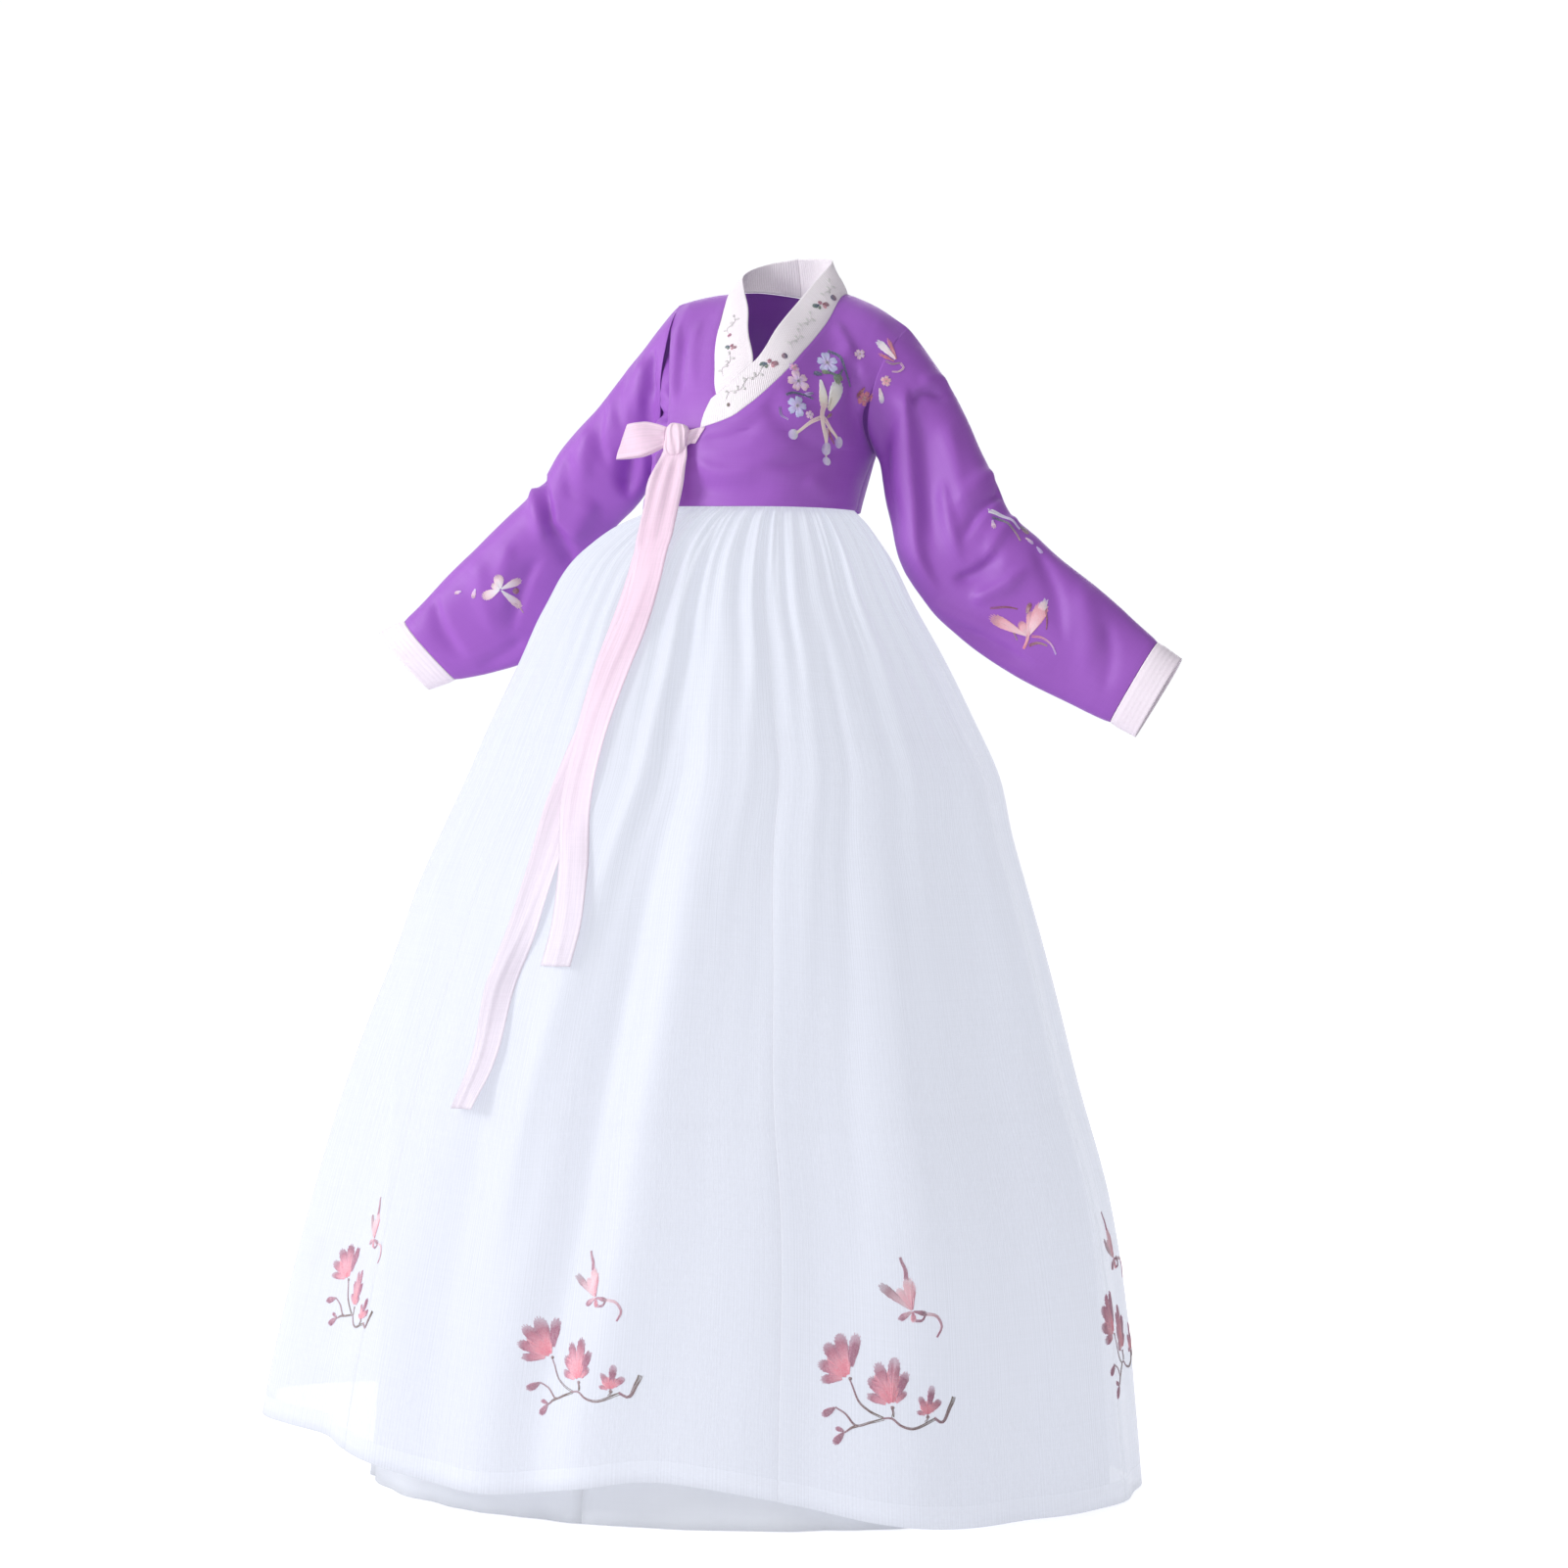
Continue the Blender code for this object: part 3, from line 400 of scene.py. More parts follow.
@dataclass(frozen=True)
class SkirtForm:
    """The skirt. turn runs from the wearer's left round the front, the right and the back."""

    gathers: int = 48
    gather_depth: float = 0.0032
    top: float = -0.236
    under_hem: float = -1.400
    # degrees, height of the outer hem
    hem: tuple = (
        (0, -1.4), (30, -1.4), (42, -1.397), (52, -1.386), (61, -1.368), (71, -1.35), (80, -1.341),
        (88, -1.35), (97, -1.362), (110, -1.355), (120, -1.338), (132, -1.325), (160, -1.318),
        (190, -1.326), (230, -1.345), (270, -1.37), (320, -1.392), (360, -1.4),
    )
    # depth below the origin, reach to the left, right, front and back
    rows: tuple = milli(
        (160, 90, 140, 112, 78), (236, 83, 149, 117, 72), (256, 87, 153, 121, 76), (272, 101, 190, 133, 90),
        (300, 121, 232, 154, 112), (370, 157, 281, 200, 160), (430, 191, 309, 234, 193),
        (500, 226, 343, 268, 226), (570, 257, 374, 294, 256), (640, 271, 408, 317, 281),
        (710, 289, 441, 336, 303), (780, 306, 466, 352, 322), (850, 322, 494, 366, 338),
        (920, 338, 520, 379, 353), (1060, 377, 566, 401, 378), (1200, 399, 606, 418, 397),
        (1300, 408, 630, 426, 406), (1400, 416, 648, 430, 412),
    )
    # degrees, half width in degrees, height, start depth, full depth, turn to the right on the way down
    folds: tuple = (
        (8, 7, 0.01, 0.4, 0.9, 4), (24, 6, -0.012, 0.45, 1.0, -3), (40, 7, 0.013, 0.42, 0.95, -6),
        (56, 6, -0.009, 0.6, 1.1, -6), (72, 6, 0.014, 0.3, 0.8, -16), (80, 4, -0.014, 0.27, 0.6, -14),
        (96, 7, 0.012, 0.4, 0.9, -8), (108, 5, -0.011, 0.36, 0.75, 0), (122, 7, 0.014, 0.5, 1.0, 4),
        (136, 5, -0.012, 0.55, 1.0, 6), (150, 7, 0.013, 0.5, 1.05, 4), (166, 6, -0.011, 0.6, 1.1, 2),
        (182, 8, 0.014, 0.45, 1.0, 0), (200, 6, -0.012, 0.5, 0.95, -2), (216, 7, 0.012, 0.45, 1.05, 3),
        (233, 6, -0.013, 0.4, 0.9, 5), (249, 7, 0.013, 0.48, 1.0, -4), (267, 6, -0.012, 0.36, 0.85, 2),
        (284, 8, 0.014, 0.45, 0.95, 4), (302, 6, -0.012, 0.55, 1.05, -3), (318, 7, 0.011, 0.42, 0.9, -5),
        (334, 6, -0.012, 0.5, 1.0, 3), (350, 6, 0.011, 0.46, 0.95, 2),
    )
    # narrow creases between the long folds: the same columns
    creases: tuple = (
        (3, 1.6, -0.003, 0.27, 0.45, 3), (13, 1.3, 0.0028, 0.3, 0.62, -2),
        (19, 1.8, -0.0034, 0.34, 0.8, -3), (31, 1.2, 0.003, 0.27, 0.5, -5),
        (36, 1.5, -0.0036, 0.29, 0.7, -6), (47, 1.4, -0.003, 0.4, 0.9, -9),
        (53, 1.2, 0.0034, 0.28, 0.56, -10), (60, 1.3, -0.0032, 0.3, 0.62, -12),
        (66, 1.1, 0.0036, 0.27, 0.44, -14), (76, 1.2, 0.005, 0.27, 0.4, -15),
        (82.5, 1.5, -0.0095, 0.26, 0.52, -22), (86, 1.9, 0.006, 0.28, 0.8, -22),
        (93, 1.1, -0.0036, 0.28, 0.58, -8), (101, 1.6, 0.005, 0.3, 0.85, -4),
        (105, 1.0, -0.004, 0.27, 0.42, -1), (113, 1.5, 0.0034, 0.33, 0.7, 2),
        (118, 1.2, -0.0034, 0.29, 0.55, 4), (128, 1.5, -0.0032, 0.42, 0.85, 6),
        (133, 1.1, 0.003, 0.28, 0.5, 6), (143, 1.6, 0.0034, 0.32, 0.9, 4), (156, 1.3, -0.0032, 0.3, 0.6, 2),
        (162, 1.5, 0.003, 0.28, 0.48, 1), (174, 1.4, -0.0034, 0.33, 0.8, -1),
        (188, 1.2, 0.003, 0.29, 0.5, -2), (195, 1.6, -0.0034, 0.36, 0.9, -1),
        (207, 1.3, 0.0032, 0.28, 0.55, 2), (211, 1.1, -0.0036, 0.3, 0.7, 3),
        (224, 1.5, 0.0034, 0.34, 0.8, 4), (238, 1.2, -0.003, 0.28, 0.5, 3),
        (243, 1.4, 0.0034, 0.31, 0.75, -1), (256, 1.3, -0.0036, 0.29, 0.6, -2),
        (261, 1.5, 0.003, 0.38, 0.85, 0), (274, 1.2, -0.0034, 0.28, 0.52, 3),
        (291, 1.5, 0.0032, 0.32, 0.78, 2), (296, 1.1, -0.0034, 0.28, 0.47, -1),
        (308, 1.4, 0.0034, 0.3, 0.65, -4), (313, 1.6, -0.003, 0.36, 0.88, -4),
        (326, 1.2, 0.0034, 0.28, 0.54, -1), (341, 1.4, -0.0034, 0.31, 0.72, 2),
        (346, 1.1, 0.003, 0.28, 0.46, 2), (355, 1.3, 0.0034, 0.33, 0.68, 2),
    )

    def hem_height(self, turn: np.ndarray) -> np.ndarray:
        """Height of the outer hem."""
        return through(self.hem, np.degrees(turn) % 360)[..., 0]

    def away(
        self, turn: np.ndarray, depth: np.ndarray, angle: float, start: float, lean: float
    ) -> np.ndarray:
        """How far directions are from a fold's middle, which leans on its way down."""
        centre = np.radians(angle - lean * np.clip(depth - start, 0, 1))
        return (turn - centre + np.pi) % (2 * np.pi) - np.pi

    def lift(self, turn: np.ndarray, depth: np.ndarray) -> np.ndarray:
        """How far the long folds lift the cloth off its plain form."""
        height = np.zeros(np.broadcast(turn, depth).shape)
        for angle, half, rise, start, full, lean in self.folds:
            away = self.away(turn, depth, angle, start, lean)
            height = height + rise * ease(depth, start, full) * np.exp(-((away / np.radians(half)) ** 2))
        return height

    def fine_lift(self, turn: np.ndarray, depth: np.ndarray) -> np.ndarray:
        """The narrow creases, which start at the band and fade on the way down."""
        height = np.zeros(np.broadcast(turn, depth).shape)
        for angle, half, rise, start, full, lean in self.creases:
            away = self.away(turn, depth, angle, start, lean)
            wide = np.radians(half) * (1 + 0.8 * ease(depth, start, full))
            along = ease(depth, start - 0.03, start + 0.06) * (1 - 0.85 * ease(depth, full, full + 0.45))
            height = height + rise * along * np.exp(-((away / wide) ** 2))
        return height

    def gather_lift(self, turn: np.ndarray, depth: np.ndarray) -> np.ndarray:
        """The fine gathers below the band: the main ones, and a second uneven set between them."""
        uneven = 1 + 0.25 * np.sin(5 * turn + 0.6) + 0.20 * np.sin(11 * turn + 2.0)
        fade = 1 - ease(depth, 0.30 + 0.06 * np.sin(7 * turn), 0.56)
        fade = (0.65 + 0.35 * ease(depth, 0.24, 0.28)) * fade
        main = self.gather_depth * uneven * fade * np.cos(self.gathers * turn)
        drift = 1.3 * np.sin(9 * turn + 0.4) + 0.9 * np.sin(17 * turn + 1.1)
        second = 0.0015 * np.sin(2.5 * self.gathers * turn + drift) * (0.7 + 0.5 * np.sin(13 * turn))
        reach = 1 - ease(depth, 0.27 + 0.03 * np.sin(23 * turn), 0.42 + 0.10 * np.sin(19 * turn + 2))
        return main + second * reach

    def point(
        self,
        turn: Any,
        z: Any,
        inward: Any = 0.0,
        folds: float = 1.0,
        gathers: float = 1.0,
        fine: float = 0.0,
    ) -> np.ndarray:
        """Finds points of the skirt.

        Args:
            turn: direction from the wearer's left round the front.
            z: height.
            inward: how far inside the outer cloth.
            folds: share of the long folds.
            gathers: share of the gathers.
            fine: share of the narrow creases.

        Returns:
            The points.
        """
        turn, z = np.broadcast_arrays(np.asarray(turn, float), np.asarray(z, float))
        left, right, front, back = np.moveaxis(through(self.rows, -z), -1, 0)
        centre = np.stack([(left - right) / 2, (back - front) / 2], -1)
        half = np.stack([(left + right) / 2, (front + back) / 2], -1)
        around = np.stack([np.cos(turn), -np.sin(turn)], -1)
        normal = unit(around / half)
        lift = folds * self.lift(turn, -z) - inward
        if gathers:
            lift = lift + gathers * self.gather_lift(turn, -z)
        if fine:
            lift = lift + fine * self.fine_lift(turn, -z)
        flat = centre + half * around + normal * lift[..., None]
        return np.concatenate([flat, z[..., None]], -1)

    def front_y(self, x: np.ndarray, z: np.ndarray) -> np.ndarray:
        """y of the front at this x and z, with its folds and the crests of its gathers."""
        left, right, front, back = np.moveaxis(through(self.rows, -z), -1, 0)
        cosine = np.clip((x - (left - right) / 2) / ((left + right) / 2), -0.98, 0.98)
        turn = np.arccos(cosine)
        lift = self.lift(turn, -z) + self.gather_depth * (1 - ease(-z, 0.30, 0.60))
        return (back - front) / 2 - ((front + back) / 2 + lift) * np.sin(turn)


# ---------------------------------------------------------------- creases


@dataclass(frozen=True)
class Crease:
    """A soft ridge or trough pressed into cloth, seen from the front or the back, in millimetres."""

    side: Side
    path: tuple  # x, z, x, z and so on along it
    width: float
    height: float  # below 0 is a trough
    flank: float = 1.0  # width on its left, seen along its path, as a share of that on its right
    start: float = 0.25  # share of its length over which it comes up, and goes again
    end: float = 0.35

    def lift(self, grid: np.ndarray, normals: np.ndarray) -> np.ndarray:
        """Height of the crease over each point of a grid.

        Args:
            grid: the cloth's points.
            normals: their outward normals.

        Returns:
            One height for each point.
        """
        line = np.array(self.path, float).reshape(-1, 2) / 1000
        run = run_of(line) / run_of(line)[-1]
        even = np.linspace(0, 1, 17)
        line = through(np.column_stack([run, line]), even)
        flat = grid[..., (0, 2)]
        nearest = np.full(flat.shape[:-1], 1e9)
        along = np.zeros(flat.shape[:-1])
        share = np.ones(flat.shape[:-1])
        for k in range(len(even) - 1):
            step = line[k + 1] - line[k]
            t = np.clip(((flat - line[k]) @ step) / (step @ step), 0, 1)
            away = np.linalg.norm(flat - line[k] - t[..., None] * step, axis=-1)
            closer = away < nearest
            turned = step[0] * (flat - line[k])[..., 1] - step[1] * (flat - line[k])[..., 0]
            nearest = np.where(closer, away, nearest)
            share = np.where(closer, np.where(turned > 0, self.flank, 1.0), share)
            along = np.where(closer, even[k] + t * (even[1] - even[0]), along)
        taper = ease(along, 0, self.start) * ease(1 - along, 0, self.end)
        wide = self.width / 1000 * share * (0.7 + 0.5 * np.sin(np.pi * along))
        facing = ease(self.side.value * normals[..., 1], -0.15, 0.25)
        return self.height / 1000 * taper * facing * np.exp(-((nearest / wide) ** 2))


def pressed(side: Side, *rows: tuple) -> tuple[Crease, ...]:
    """Creases of one side, with their other values in rows."""
    return tuple(Crease(side, *row) for row in rows)


def normals_of(grid: np.ndarray, closed: bool, centre: np.ndarray) -> np.ndarray:
    """Outward normals of a grid of points.

    Args:
        grid: rows of points.
        closed: whether each row is a ring.
        centre: a point inside each row.

    Returns:
        A unit normal for each point.
    """
    if closed:
        across = np.roll(grid, -1, axis=1) - np.roll(grid, 1, axis=1)
    else:
        across = np.gradient(grid, axis=1)
    normals = unit(np.cross(across, np.gradient(grid, axis=0)))
    outwards = (normals * (grid - centre[:, None])).sum(-1)
    return normals if outwards.sum() > 0 else -normals


def groove(grid: np.ndarray, normals: np.ndarray, sides: str, depth: float, width: float) -> np.ndarray:
    """Draws cloth in along its sewn edges.

    Args:
        grid: the cloth's points.
        normals: their normals.
        sides: the sewn edges: f and l for the first and last column, t and b for the first and last row.
        depth: how far the seam draws it in.
        width: how far from the edge this is felt.

    Returns:
        The grid again.
    """
    lines = {"f": grid[:, :1], "l": grid[:, -1:], "t": grid[:1], "b": grid[-1:]}
    for name in sides:
        away = np.linalg.norm(grid - lines[name], axis=-1)
        grid = grid - (depth * np.exp(-((away / width) ** 2)))[..., None] * normals
    return grid


# ---------------------------------------------------------------- finishes


class Nodes:
    """Adds and links the nodes of one tree in short calls."""

    def __init__(self, tree: bpy.types.NodeTree) -> None:
        """Args: tree: the tree that the nodes go in."""
        self.tree = tree

    def add(self, kind: str, inputs: dict[Any, Any] | None = None, **settings: Any) -> bpy.types.Node:
        """Adds a node.

        Args:
            kind: its type.
            inputs: values or sockets for its inputs.
            settings: its own properties.

        Returns:
            The node.
        """
        node = self.tree.nodes.new(kind)
        for name, value in settings.items():
            setattr(node, name, value)
        self.fill(node, inputs or {})
        return node

    def fill(self, node: bpy.types.Node, inputs: dict[Any, Any]) -> None:
        """Links or sets several inputs of a node."""
        for key, value in inputs.items():
            self.put(node.inputs[key], value)

    def put(self, socket: bpy.types.NodeSocket, value: Any) -> None:
        """Links a socket to another, or sets its value."""
        if isinstance(value, bpy.types.NodeSocket):
            self.tree.links.new(value, socket)
        else:
            socket.default_value = value

    def out(self, kind: str, inputs: dict[Any, Any] | None = None, **settings: Any) -> bpy.types.NodeSocket:
        """Adds a node as `add` does, and gives its first output."""
        return self.add(kind, inputs, **settings).outputs[0]

    def math(self, operation: str, a: Any, b: Any = 0.0, c: Any = 0.0) -> bpy.types.NodeSocket:
        """A Math node's result."""
        return self.out("ShaderNodeMath", {0: a, 1: b, 2: c}, operation=operation)

    def mix(self, share: Any, a: Any, b: Any) -> bpy.types.NodeSocket:
        """A mix of two colours."""
        node = self.add("ShaderNodeMix", {"Factor": share}, data_type="RGBA")
        for key, value in ((6, a), (7, b)):
            self.put(node.inputs[key], value if isinstance(value, bpy.types.NodeSocket) else (*value, 1.0))
        return node.outputs[2]

    def mix_value(self, share: Any, a: Any, b: Any) -> bpy.types.NodeSocket:
        """A mix of two numbers."""
        return self.out("ShaderNodeMix", {0: share, 2: a, 3: b}, data_type="FLOAT")

    def ramp(self, value: Any, low: float, high: float, start: float = 0.0, end: float = 1.0) -> Any:
        """A smooth step of a value from one range to another."""
        inputs = {0: value, 1: low, 2: high, 3: start, 4: end}
        return self.out("ShaderNodeMapRange", inputs, interpolation_type="SMOOTHSTEP")

    def part(self, vector: Any, axis: int) -> bpy.types.NodeSocket:
        """One part of a vector."""
        return self.add("ShaderNodeSeparateXYZ", {0: vector}).outputs[axis]


def material(name: str) -> tuple[bpy.types.Material, Nodes, bpy.types.Node]:
    """A new material with its nodes and its Principled BSDF."""
    made = bpy.data.materials.new(name)
    made.use_nodes = True
    return made, Nodes(made.node_tree), made.node_tree.nodes["Principled BSDF"]


def weave_group() -> bpy.types.NodeTree:
    """Builds the weave that every cloth here shares.

    Returns:
        A group with the height of the threads, uneven threads as streaks, and a cloudy mask.
    """
    name = "woven_threads"
    found = bpy.data.node_groups.get(name)
    if found:
        return found
    tree = bpy.data.node_groups.new(name, "ShaderNodeTree")
    tree.interface.new_socket(name="Cloth", in_out="INPUT", socket_type="NodeSocketVector")
    for way, labels in (("INPUT", "Pitch Streak Grain Weft"), ("OUTPUT", "Height Slub Cloud")):
        for label in labels.split():
            tree.interface.new_socket(name=label, in_out=way, socket_type="NodeSocketFloat")
    nodes = Nodes(tree)
    given = nodes.add("NodeGroupInput").outputs
    rate = nodes.math("DIVIDE", 2 * np.pi, given["Pitch"])
    waves = [nodes.math("SINE", nodes.math("MULTIPLY", nodes.part(given["Cloth"], k), rate)) for k in (0, 1)]
    height = nodes.math("MULTIPLY_ADD", nodes.math("MULTIPLY", *waves), 0.5, 0.5)
    streaks = []
    for along in (0, 1):
        stretch = nodes.out("ShaderNodeCombineXYZ", {1 - along: given["Grain"], along: given["Streak"]})
        place = nodes.out("ShaderNodeVectorMath", {0: given["Cloth"], 1: stretch}, operation="MULTIPLY")
        streaks.append(nodes.out("ShaderNodeTexNoise", {"Vector": place, "Scale": 1.0, "Detail": 2.0}))
    slub = nodes.mix_value(given["Weft"], streaks[1], streaks[0])
    cloud = nodes.out("ShaderNodeTexNoise", {"Vector": given["Cloth"], "Scale": 14.0, "Detail": 3.0})
    nodes.add("NodeGroupOutput", {"Height": height, "Slub": slub, "Cloud": cloud})
    return tree


@dataclass(frozen=True)
class Finish:
    """A woven cloth's colour and gloss. Its pattern follows the piece's own UV map, in metres."""

    name: str
    colour: Colour
    shade: Colour  # colour of its uneven threads
    roughness: float = 0.5
    pitch: float = 0.0007
    streak: float = 12.0  # streaks a metre along the threads
    grain: float = 900.0  # streaks a metre across them
    weft: float = 0.5  # share of the streaks that run across the cloth
    slub: float = 0.5  # how far the streaks colour it
    sheen: float = 0.3
    sheen_tint: Colour = (1.0, 1.0, 1.0)
    specular: float = 0.4
    bump: float = 0.0002
    alpha: float = 1.0
    hems: tuple[float, float] = (0.0, 0.0)  # flat width and length of a sheer panel with turned edges
    ribs: float = 0.0  # pitch of ribs along the cloth, 0 for none
    painted_glow: float = 0.0  # painted glow: emission in the cloth's own colour, standing in for light that comes through from behind and lifting its shade
    pale: Colour | None = None  # colour that it fades to along its length

    def make(self) -> bpy.types.Material:
        """Builds the material, or finds it if it is there."""
        found = bpy.data.materials.get(self.name)
        if found:
            return found
        made, nodes, shader = material(self.name)
        cloth = nodes.out("ShaderNodeUVMap", uv_map="cloth")
        weave = nodes.add("ShaderNodeGroup", node_tree=weave_group())
        nodes.put(weave.inputs["Cloth"], cloth)
        for label in ("Pitch", "Streak", "Grain", "Weft"):
            nodes.put(weave.inputs[label], getattr(self, label.lower()))
        height, slub, cloud = (weave.outputs[name] for name in ("Height", "Slub", "Cloud"))
        worn = nodes.math("MULTIPLY_ADD", cloud, 0.5, nodes.math("MULTIPLY", slub, 0.5))
        worn = nodes.ramp(worn, 0.35, 0.65)
        colour = nodes.mix(nodes.math("MULTIPLY", worn, self.slub), self.colour, self.shade)
        if self.pale:
            colour = nodes.mix(nodes.ramp(nodes.part(cloth, 1), 0.12, 0.62), colour, self.pale)
        relief = nodes.math("MULTIPLY_ADD", slub, 0.6, nodes.math("MULTIPLY", height, 0.5))
        if self.ribs:
            rib = nodes.math("SINE", nodes.math("MULTIPLY", nodes.part(cloth, 1), 2 * np.pi / self.ribs))
            relief = nodes.math("MULTIPLY_ADD", rib, 1.2, relief)
        bump = {"Strength": 1.0, "Distance": self.bump, "Height": relief}
        nodes.fill(
            shader,
            {
                "Base Color": colour,
                "Roughness": nodes.ramp(slub, 0.3, 0.7, self.roughness - 0.05, self.roughness + 0.06),
                "Normal": nodes.out("ShaderNodeBump", bump),
                "Alpha": self.sheer(nodes, cloth, slub) if self.alpha < 1 else 1.0,
                "Sheen Weight": self.sheen,
                "Sheen Roughness": 0.35,
                "Sheen Tint": (*self.sheen_tint, 1.0),
                "Specular IOR Level": self.specular,
                # painted glow: the cloth emits its own colour, which lifts its shade as if light came through
                # it
                "Emission Color": (*self.colour, 1.0),
                "Emission Strength": self.painted_glow,
            },
        )
        return made

    def sheer(self, nodes: Nodes, cloth: Any, slub: Any) -> Any:
        """Alpha of see-through cloth, which is denser at slubs and at its turned edges.

        Args:
            nodes: the material's nodes.
            cloth: place on the cloth, in metres.
            slub: its uneven threads.

        Returns:
            The socket with the alpha.
        """
        alpha = nodes.ramp(slub, 0.25, 0.75, self.alpha - 0.07, self.alpha + 0.07)
        width, length = self.hems
        if not width:
            return alpha
        across = nodes.math("ABSOLUTE", nodes.math("SUBTRACT", nodes.part(cloth, 0), width / 2))
        seam = nodes.ramp(across, width / 2 - 0.006, width / 2 - 0.0045)
        hem = nodes.ramp(nodes.part(cloth, 1), length - 0.0175, length - 0.0165)
        edge = nodes.math("MAXIMUM", seam, hem)
        return nodes.math("MULTIPLY_ADD", edge, 0.5 * (1 - self.alpha), alpha)


@dataclass(frozen=True)
class ThreadFinish:
    """Glossy rayon embroidery thread. Its colour is the thread's own attribute."""

    name: str = "rayon_thread"
    bright: Colour = (0.9, 0.86, 0.9)

    def make(self) -> bpy.types.Material:
        """Builds the material, or finds it if it is there."""
        found = bpy.data.materials.get(self.name)
        if found:
            return found
        made, nodes, shader = material(self.name)
        dye = nodes.add("ShaderNodeAttribute", attribute_name="dye").outputs["Color"]
        place = nodes.add("ShaderNodeTexCoord").outputs["Object"]
        uneven = nodes.out("ShaderNodeTexNoise", {"Vector": place, "Scale": 700.0})
        colour = nodes.mix(nodes.ramp(uneven, 0.3, 0.7, 0.0, 0.22), dye, self.bright)
        gloss = nodes.ramp(uneven, 0.3, 0.7, 0.32, 0.42)
        given = {"Base Color": colour, "Roughness": gloss, "Sheen Weight": 0.25, "Specular IOR Level": 0.55}
        nodes.fill(shader, given)
        return made


SATIN = Finish(
    "violet_satin_cloth", (0.330, 0.088, 0.520), (0.270, 0.066, 0.450),
    sheen=0.40, sheen_tint=(0.86, 0.68, 1.0), specular=0.65, slub=0.35, bump=0.00010,
)
COLLAR = Finish(
    "collar_satin", (0.92, 0.86, 0.905), (0.88, 0.78, 0.85), grain=400.0, ribs=0.0026, bump=0.00012
)
CUFF = Finish(
    "cuff_satin", (0.90, 0.81, 0.885), (0.86, 0.73, 0.835),
    slub=0.4, grain=300.0, weft=0.4, ribs=0.0060, bump=0.00007,
)
KNOT_RIBBON = Finish(
    "knot_silk", (0.84, 0.67, 0.78), (0.81, 0.58, 0.71),
    roughness=0.42, pitch=0.0006, weft=0.2, grain=500.0, sheen=0.4,
)
# The hanging ends carry a faint painted glow, emission in their own colour.
RIBBON = replace(
    KNOT_RIBBON, name="tie_silk", colour=(0.84, 0.66, 0.78), shade=(0.81, 0.59, 0.73),
    alpha=0.74, pale=(0.74, 0.69, 0.77), hems=(0.042, 3.0), painted_glow=0.12,
)
# The organza's base colour is kept low and a strong painted glow, emission in its own colour, brightens it
# evenly and softens its shade.
ORGANZA = Finish(
    "skirt_organza", (0.335, 0.346, 0.384), (0.320, 0.333, 0.373),
    roughness=0.42, pitch=0.0008, streak=3.0, grain=500.0, weft=0.12, sheen=0.35, alpha=0.64, bump=0.00012,
    painted_glow=1.44, hems=(0.60, 1.14),
)
# The underskirt has a darker base colour and a painted glow, emission in its own colour, which lifts its
# shaded side.
LINING = Finish(
    "underskirt_cotton", (0.50, 0.513, 0.550), (0.475, 0.490, 0.530),
    roughness=0.65, grain=400.0, sheen=0.2, painted_glow=0.50,
)
THREAD = ThreadFinish()


# ---------------------------------------------------------------- pieces


def placed(name: str, data: Any) -> bpy.types.Object:
    """A new object in the scene."""
    made = bpy.data.objects.new(name, data)
    bpy.context.scene.collection.objects.link(made)
    return made


